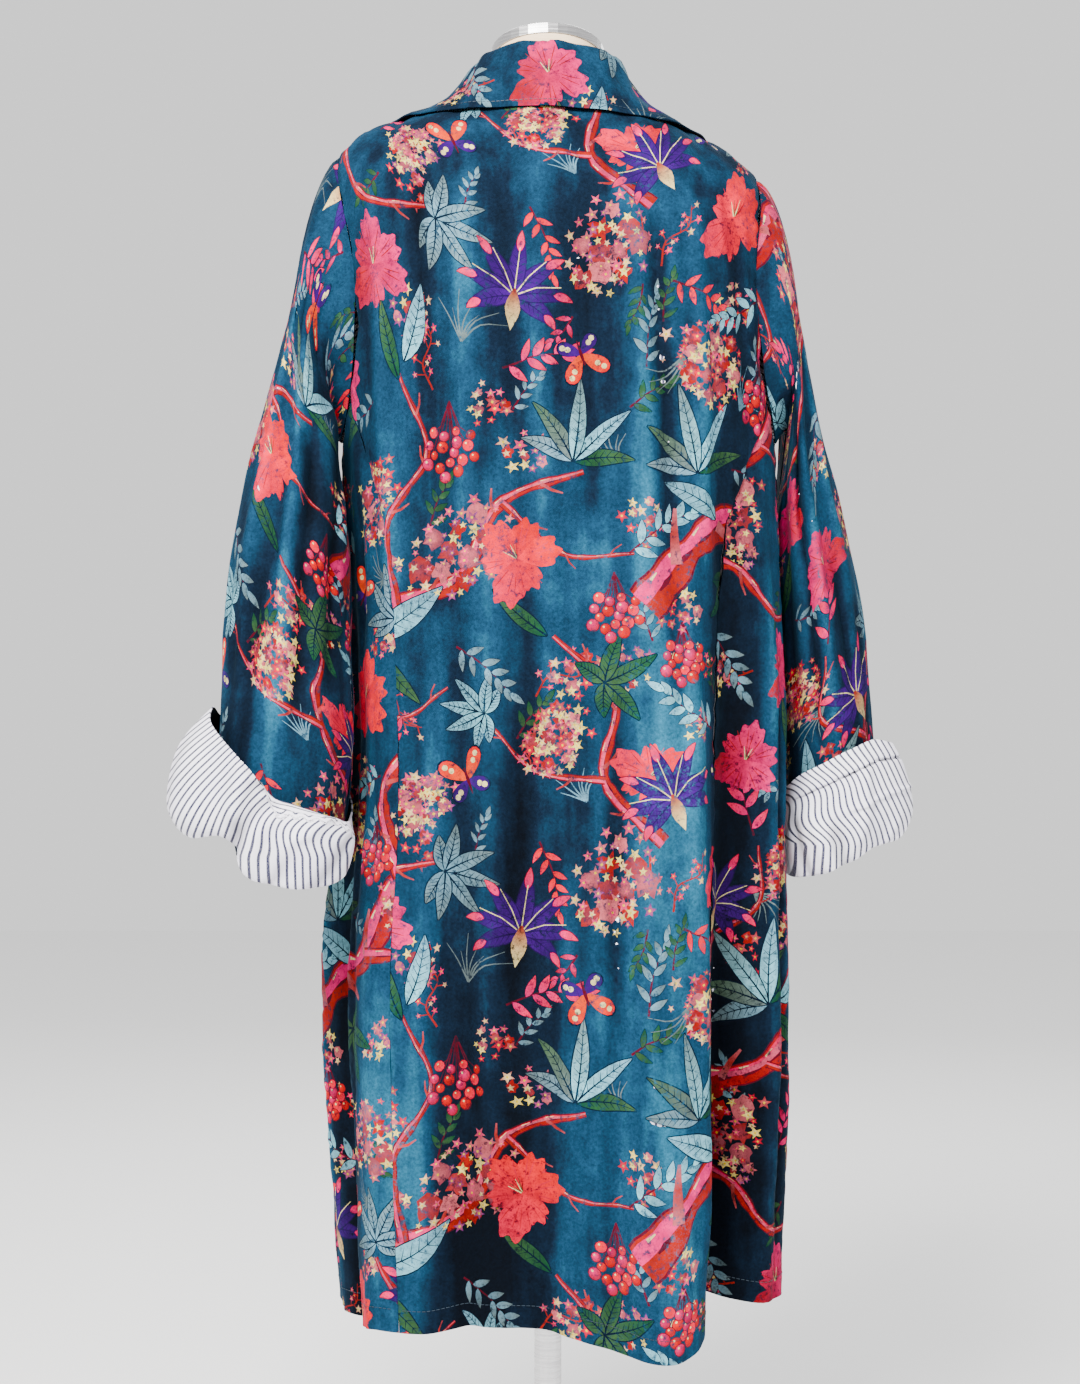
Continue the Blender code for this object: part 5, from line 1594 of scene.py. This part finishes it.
def build_jacket(velvet, lining):
    tile = print_tile()
    made = {}
    rows = []
    hem = HEM_RUN - HEM_FOLD
    side_start = PRINCESS[0].run + SIDE_BACK_DROP
    down = np.linspace(0, HEM_RUN, BODY_ROWS)

    def side_edge(run):
        return SIDE_ANGLE - armhole_half(run)

    panels = [
        ("back", (-92, 92, 0.0), lambda r: -back_edge(r), back_edge, 0.0, (0.10, 0.06)),
        ("side_back_right", (38, 96, 66.0), princess_edge, side_edge, side_start, (0.33, 0.25)),
        ("side_back_left", (-96, -38, -66.0), lambda r: -side_edge(r), lambda r: -princess_edge(r),
         side_start, (0.52, 0.47)),
        ("front_right", (86, 180, 132.0), lambda r: SIDE_ANGLE + armhole_half(r), front_edge, 0.0,
         (0.05, 0.38)),
        ("front_left", (-180, -86, -132.0), lambda r: -front_edge(r),
         lambda r: -SIDE_ANGLE - armhole_half(r), 0.0, (0.41, 0.15)),
    ]
    for name, (low, high, middle), left, right, start, slide in panels:
        across = np.linspace(low, high, int((high - low) * COLUMNS_PER_DEGREE))
        piece = Piece(name, creased_body, across, down, middle, BODY_GRID, (left, right))
        piece.set_outline(panel_outline(left, right, start))
        made[name] = dress(piece, tile, slide, (velvet, lining))
        turns = np.linspace(float(left(hem)) + HEM_END, float(right(hem)) - HEM_END, HEM_POINTS)
        rows.append(stitch_row(piece, turns, np.full(HEM_POINTS, hem)))
        if name.startswith("front"):
            runs = np.linspace(FRONT_STITCH_TOP, hem, FRONT_POINTS)
            edge = (right(runs) - FRONT_FOLD) if name == "front_right" else (left(runs) + FRONT_FOLD)
            rows.append(stitch_row(piece, edge, runs))
    for arm in ARMS:
        piece = sleeve_piece(arm)
        made[piece.name] = dress(piece, tile, arm.slide, (velvet, lining))
    for arm in ARMS:
        piece = cuff_piece(arm)
        made[piece.name] = dress(piece, None, None, (lining, velvet))
    along, across = np.linspace(-1, 1, COLLAR_COLUMNS), np.linspace(0, 1, COLLAR_ROWS)
    piece = Piece("collar", collar_surface, along, across, 0.0, COLLAR_GRID, (), 1.0, COLLAR_CLOTH)
    piece.set_outline(collar_outline())
    made["collar"] = dress(piece, tile, (0.30, 0.20), (velvet, velvet))
    low = np.full(COLLAR_POINTS, np.interp(piece.v[-1] - EDGE_FOLD, piece.v, piece.down))
    rows.append(stitch_row(piece, np.linspace(-COLLAR_SEWN, COLLAR_SEWN, COLLAR_POINTS), low))
    sew(rows, plain_finish("sewing_thread_and_groove_shade", THREAD_AND_GROOVE_SHADE, 0.6))
    return made


def dress(piece, tile, slide, materials):
    """Makes a piece of cloth with its print."""
    prints = []
    if tile:
        prints = print_over(tile, piece.outline.min(0), piece.outline.max(0), slide)
    step = SLEEVE_GRID if piece.name.startswith("sleeve") else LINING_GRID
    step = piece.step if piece.name.startswith("cuff") else step
    return make_cloth(piece, prints, materials, step), piece


def declare(made):
    """Names each piece of cloth, attaches it to the root and hides the part of the model that it stands for.
    """
    for name, (thing, piece) in made.items():
        thing.name = name + "_cloth"
        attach(thing, "root")
        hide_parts(name)


# Finishes. A ramp's rows each hold a place and a colour

# The velvet's ground from its darkest to its lightest. Its dark end is painted shade in troughs and lower
# down, its light end painted light on ridges and in the lighter streaks
VELVET_TONES = [
    (0.44, (0.0008, 0.0016, 0.0036)),
    (0.62, (0.0020, 0.0064, 0.0150)),
    (0.80, (0.0052, 0.0280, 0.0580)),
    (1.00, (0.0160, 0.1050, 0.1700)),
]
VELVET_SHEEN = (0.06, 0.30, 0.50)
# Painted shade: between these heights the velvet's ground is painted this much lighter going up, so that it
# is darker lower down
LOW_PAINTED_SHADE = (0.30, 0.90, -0.09, 0.01)
STRIPE_EDGES = [
    (0.31, (0.0, 0.0, 0.0)),
    (0.36, (1.0, 1.0, 1.0)),
    (0.64, (1.0, 1.0, 1.0)),
    (0.69, (0.0, 0.0, 0.0)),
]
STRIPE_INK = (0.010, 0.010, 0.045)
LINING_TONES = [(0.30, (0.72, 0.69, 0.80)), (0.75, (0.86, 0.85, 0.90))]
JERSEY_TONES = [(0.30, (0.70, 0.50, 0.32)), (0.75, (0.86, 0.68, 0.47))]
STEEL_TONES = [(0.30, (0.40, 0.39, 0.40)), (0.70, (0.66, 0.65, 0.65))]
# Painted shade: the thread is near black, so each row of stitches also stands for the shade in the groove
# that it sews
THREAD_AND_GROOVE_SHADE = (0.004, 0.016, 0.030)


class Finish:
    """A material that is put together out of nodes."""

    def __init__(self, name, **shader):
        self.material = bpy.data.materials.new(name)
        self.material.use_nodes = True
        self.tree = self.material.node_tree
        self.shader = self.tree.nodes["Principled BSDF"]
        for socket, value in shader.items():
            self.put(value, self.shader.inputs[socket.replace("_", " ")])

    def put(self, value, socket):
        """Joins a socket to another one, or sets it to a plain value."""
        if isinstance(value, bpy.types.NodeSocket):
            self.tree.links.new(value, socket)
        elif socket.type == "RGBA":
            socket.default_value = (*value, 1.0)
        else:
            socket.default_value = value

    def add(self, kind, **values):
        node = self.tree.nodes.new("ShaderNode" + kind)
        for name, value in values.items():
            if name in node.inputs:
                self.put(value, node.inputs[name])
            else:
                setattr(node, name, value)
        return node

    def place(self, stretch=None):
        """The object's own coordinates, which may be stretched."""
        place = self.add("TexCoord").outputs["Object"]
        if stretch:
            place = self.add("Mapping", Vector=place, Scale=stretch).outputs[0]
        return place

    # The painted light and shade stored on each point: lighter on ridges, darker in troughs
    def nap(self):
        return self.add("Attribute", attribute_name="nap").outputs["Fac"]

    def math(self, operation, *terms):
        node = self.add("Math", operation=operation)
        for term, socket in zip(terms, node.inputs):
            self.put(term, socket)
        return node.outputs[0]

    def scaled(self, *terms):
        """A number moved from one range to another, and kept within it."""
        node = self.add("MapRange")
        for term, socket in zip(terms, node.inputs):
            self.put(term, socket)
        return node.outputs[0]

    def noise(self, place, scale, detail, roughness=0.5):
        node = self.add("TexNoise", Vector=place, Scale=scale, Detail=detail, Roughness=roughness)
        return node.outputs[0]

    def ramp(self, source, stops):
        node = self.add("ValToRGB", Fac=source)
        elements = node.color_ramp.elements
        while len(elements) < len(stops):
            elements.new(0.5)
        for element, (place, colour) in zip(elements, stops):
            element.position = place
            element.color = (*colour, 1.0)
        return node.outputs[0]

    def mix(self, factor, first, second, blend="MIX"):
        node = self.add("Mix", data_type="RGBA", blend_type=blend)
        for value, k in ((factor, 0), (first, 6), (second, 7)):
            self.put(value, node.inputs[k])
        return node.outputs[2]

    def dimmed(self, colour, share):
        """A colour times a number."""
        grey = self.add("CombineColor", Red=share, Green=share, Blue=share)
        return self.mix(1.0, colour, grey.outputs[0], "MULTIPLY")

    def bump(self, height, strength, distance, **under):
        """Makes the surface's bump. Another bump may lie under it."""
        node = self.add("Bump", Height=height, Strength=strength, Distance=distance, **under)
        return node.outputs[0]

    def done(self, colour, normal):
        self.put(colour, self.shader.inputs["Base Color"])
        self.put(normal, self.shader.inputs["Normal"])
        return self.material


def velvet_finish():
    """Teal velvet. Its ground is painted in long streaks, partly the pile's own tone and partly painted
    sheen, painted lighter on ridges and darker in troughs and lower down as light and shade, and its print
    is stored on the piece and shaded the same way.
    """
    velvet = Finish(
        "printed_velvet_cloth", Roughness=0.90, Specular_IOR_Level=0.04, Sheen_Weight=0.05,
        Sheen_Roughness=0.40, Sheen_Tint=VELVET_SHEEN,
    )
    place = velvet.place()
    streak = velvet.noise(velvet.place((1.0, 1.0, 0.13)), 24.0, 4.0, 0.55)
    scuff = velvet.noise(place, 30.0, 5.0, 0.62)
    # Painted light and shade: the streaks, partly painted sheen, and the fold shading, lighter on ridges and
    # darker in troughs, set the ground's tone
    pile_and_painted_shading = velvet.math("MULTIPLY_ADD", streak, 0.62, velvet.nap())
    pile_and_painted_shading = velvet.math("MULTIPLY_ADD", scuff, 0.30, pile_and_painted_shading)
    # Painted shade: the ground is painted darker lower down
    height = velvet.add("SeparateXYZ", Vector=place).outputs[2]
    tone = velvet.math("ADD", pile_and_painted_shading, velvet.scaled(height, *LOW_PAINTED_SHADE))
    pile = velvet.scaled(velvet.noise(place, 330.0, 3.0, 0.7), 0.30, 0.70, 0.66, 1.40)
    ground = velvet.dimmed(velvet.ramp(tone, VELVET_TONES), pile)
    stored = velvet.add("VertexColor", layer_name="print")
    # Painted light and shade: the print is painted darker where the ground is, in troughs, lower down and in
    # the darker streaks
    ink_shading = velvet.scaled(tone, 0.42, 0.98, 0.50, 1.02)
    blotch = velvet.scaled(velvet.noise(place, 95.0, 4.0, 0.6), 0.35, 0.68, 0.72, 1.10)
    inked = velvet.dimmed(stored.outputs["Color"], velvet.math("MULTIPLY", ink_shading, blotch))
    dry = velvet.scaled(velvet.noise(place, 170.0, 6.0, 0.72), 0.36, 0.47, 0.10, 1.0)
    speck = velvet.scaled(velvet.noise(place, 520.0, 2.0, 0.6), 0.28, 0.50, 0.60, 0.98)
    cover = velvet.math("MULTIPLY", velvet.math("MULTIPLY", stored.outputs["Alpha"], dry), speck)
    fine = velvet.bump(velvet.noise(place, 900.0, 2.0, 0.7), 0.35, 0.0006)
    return velvet.done(velvet.mix(cover, ground, inked), velvet.bump(streak, 0.30, 0.004, Normal=fine))


def lining_finish():
    """Off-white cotton with pin stripes that run along the cloth's second map, painted darker as shade in
    the troughs of its folds and crumples.
    """
    cotton = Finish(
        "striped_cotton_cloth", Roughness=0.82, Specular_IOR_Level=0.25, Sheen_Weight=0.12
    )
    place = cotton.place()
    spot = cotton.add("UVMap", uv_map="stripes").outputs[0]
    number = cotton.add("SeparateXYZ", Vector=spot).outputs[0]
    number = cotton.math("MULTIPLY_ADD", cotton.noise(place, 38.0, 2.0), 0.10, number)
    line = cotton.ramp(cotton.math("FRACT", number), STRIPE_EDGES)
    thread = cotton.noise(place, 700.0, 2.0, 0.6)
    strength = cotton.math("MULTIPLY", line, cotton.scaled(thread, 0.3, 0.6, 0.86, 1.0))
    ground = cotton.ramp(cotton.noise(place, 14.0, 3.0), LINING_TONES)
    colour = cotton.mix(strength, ground, STRIPE_INK)
    # Painted shade: the cotton is painted darker where the cloth lies low in a trough or crumple
    deep = cotton.scaled(cotton.nap(), FOLD_SHADING_LEVEL - FOLD_SHADING_REACH, FOLD_SHADING_LEVEL, 0.55, 1.0)
    return cotton.done(cotton.dimmed(colour, deep), cotton.bump(thread, 0.25, 0.0004))


def jersey_finish():
    jersey = Finish(
        "cream_jersey_cover", Roughness=0.85, Specular_IOR_Level=0.25, Sheen_Weight=0.15
    )
    place = jersey.place()
    knit = jersey.add(
        "TexWave", Vector=place, Scale=210.0, Distortion=1.2, Detail=2.0, bands_direction="Z"
    )
    colour = jersey.ramp(jersey.noise(place, 18.0, 3.0), JERSEY_TONES)
    return jersey.done(colour, jersey.bump(knit.outputs[0], 0.25, 0.0006))


def steel_finish():
    """Steel brushed round the stand's upright axis."""
    steel = Finish("brushed_steel_metal", Metallic=1.0)
    grain = steel.noise(steel.place((1.0, 1.0, 26.0)), 22.0, 4.0, 0.6)
    steel.put(steel.scaled(grain, 0.3, 0.7, 0.22, 0.36), steel.shader.inputs["Roughness"])
    return steel.done(steel.ramp(grain, STEEL_TONES), steel.bump(grain, 0.08, 0.0003))


def plain_finish(name, colour, roughness):
    return Finish(name, Base_Color=colour, Roughness=roughness).material


# The dress form


def form_ring(row, angle):
    s, c = np.sin(np.radians(angle)), np.cos(np.radians(angle))
    depth = np.where(c > 0, row.back, row.front)
    z = row.side_z + (np.where(c > 0, row.back_z, row.front_z) - row.side_z) * c * c
    x = row.half_width * s * (1 + SQUARENESS * c * c)
    y = -depth * c * (1 + SQUARENESS * s * s)
    return np.stack([x, y, z], axis=-1)


def rest_ring(run, angle):
    under = CLOTH / 2 + REST_GAP + REST_CLEAR * np.cos(np.radians(angle)) ** 2
    return body_shell(angle, run, False) - shell_normal(angle, run, False) * under[:, None]


def neck_ring(z, tilt, angle):
    lean = math.radians(tilt)
    turn = np.radians(angle)
    x, y = NECK_RADIUS * np.sin(turn), -NECK_RADIUS * np.cos(turn) * math.cos(lean)
    return np.stack([x, y, z + NECK_RADIUS * np.cos(turn) * math.sin(lean)], axis=-1)


def build_form(cover):
    """The form's padded body, with its centre and side seams drawn in."""
    angle = np.arange(FORM_ROUND) * 360.0 / FORM_ROUND
    orders = np.linspace(FORM_TORSO[-1].order, FORM_TORSO[0].order, TORSO_ROWS)
    rings = [form_ring(FormRing(*smooth_rows(FORM_TORSO, order)), angle) for order in orders]
    rings += [rest_ring(run, angle) for run in reversed(FORM_REST_RUNS)]
    rings += [neck_ring(z, NECK_TILT * share, angle) for z, share in NECK_LEANS]
    rings = np.array(rings)
    middle = rings.mean(axis=1, keepdims=True)
    out = unit((rings - middle) * np.array([1.0, 1.0, 0.0]))
    groove = np.zeros(FORM_ROUND)
    for seam in FORM_SEAMS:
        groove = groove + np.exp(-((turned(angle - seam) / FORM_SEAM_HALF_ANGLE) ** 2))
    rings[:TORSO_ROWS] -= out[:TORSO_ROWS] * (groove * FORM_SEAM_DEPTH)[None, :, None]
    mesh = bmesh.new()
    loops = [[mesh.verts.new(p) for p in ring] for ring in rings]
    for low, high in zip(loops, loops[1:]):
        for j in range(FORM_ROUND):
            k = (j + 1) % FORM_ROUND
            mesh.faces.new((low[j], low[k], high[k], high[j]))
    mesh.faces.new(loops[0][::-1])
    mesh.faces.new(loops[-1])
    bmesh.ops.recalc_face_normals(mesh, faces=mesh.faces[:])
    data = bpy.data.meshes.new("form_body")
    mesh.to_mesh(data)
    mesh.free()
    data.materials.append(cover)
    data.shade_smooth()
    data.set_sharp_from_angle(angle=math.radians(50))
    thing = added("form_body", data)
    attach(thing, "root")
    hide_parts("form_torso")


# The view and the light


def set_camera():
    data = bpy.data.cameras.new("view")
    data.sensor_fit = "VERTICAL"
    data.angle = math.radians(VIEW_DEGREES)
    camera = added("view", data)
    camera.location = EYE
    camera.rotation_euler = (math.radians(90), 0, 0)
    bpy.context.scene.camera = camera


def add_light(name, place, size, power, colour, target=(0.0, 0.0, 0.95)):
    data = bpy.data.lights.new(name, "AREA")
    data.shape = "RECTANGLE"
    data.size, data.size_y = size
    data.energy, data.color = power, colour
    light = added(name, data)
    light.location = place
    light.rotation_euler = (Vector(target) - Vector(place)).to_track_quat("-Z", "Y").to_euler()


def set_stage():
    world = bpy.data.worlds.new("studio")
    world.use_nodes = True
    sky = world.node_tree.nodes["Background"]
    sky.inputs["Color"].default_value = (1.0, 1.0, 1.0, 1.0)
    sky.inputs["Strength"].default_value = 1.15
    bpy.context.scene.world = world
    add_light("key", (-0.9, -2.3, 3.1), (1.3, 1.0), 420.0, (1.0, 0.99, 0.97), (0.0, 0.0, 1.25))
    add_light("fill", (2.4, -2.4, 1.5), (1.4, 2.2), 60.0, (0.95, 0.98, 1.0))
    add_light("rim", (0.4, 2.6, 2.6), (2.4, 1.6), 60.0, (1.0, 1.0, 1.0))
    bpy.ops.mesh.primitive_plane_add(size=14.0, location=(0, 0, 0))
    floor = bpy.context.object
    floor.name = "floor"
    floor.data.materials.append(plain_finish("pale_floor", (0.86, 0.86, 0.86), 0.7))


def main():
    set_camera()
    velvet, lining = velvet_finish(), lining_finish()
    declare(build_jacket(velvet, lining))
    build_form(jersey_finish())
    steel = steel_finish()
    for node in ("form_neck_cap", "stand_pole", "stand_base"):
        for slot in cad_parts[node].material_slots:
            slot.material = steel
    set_stage()


main()
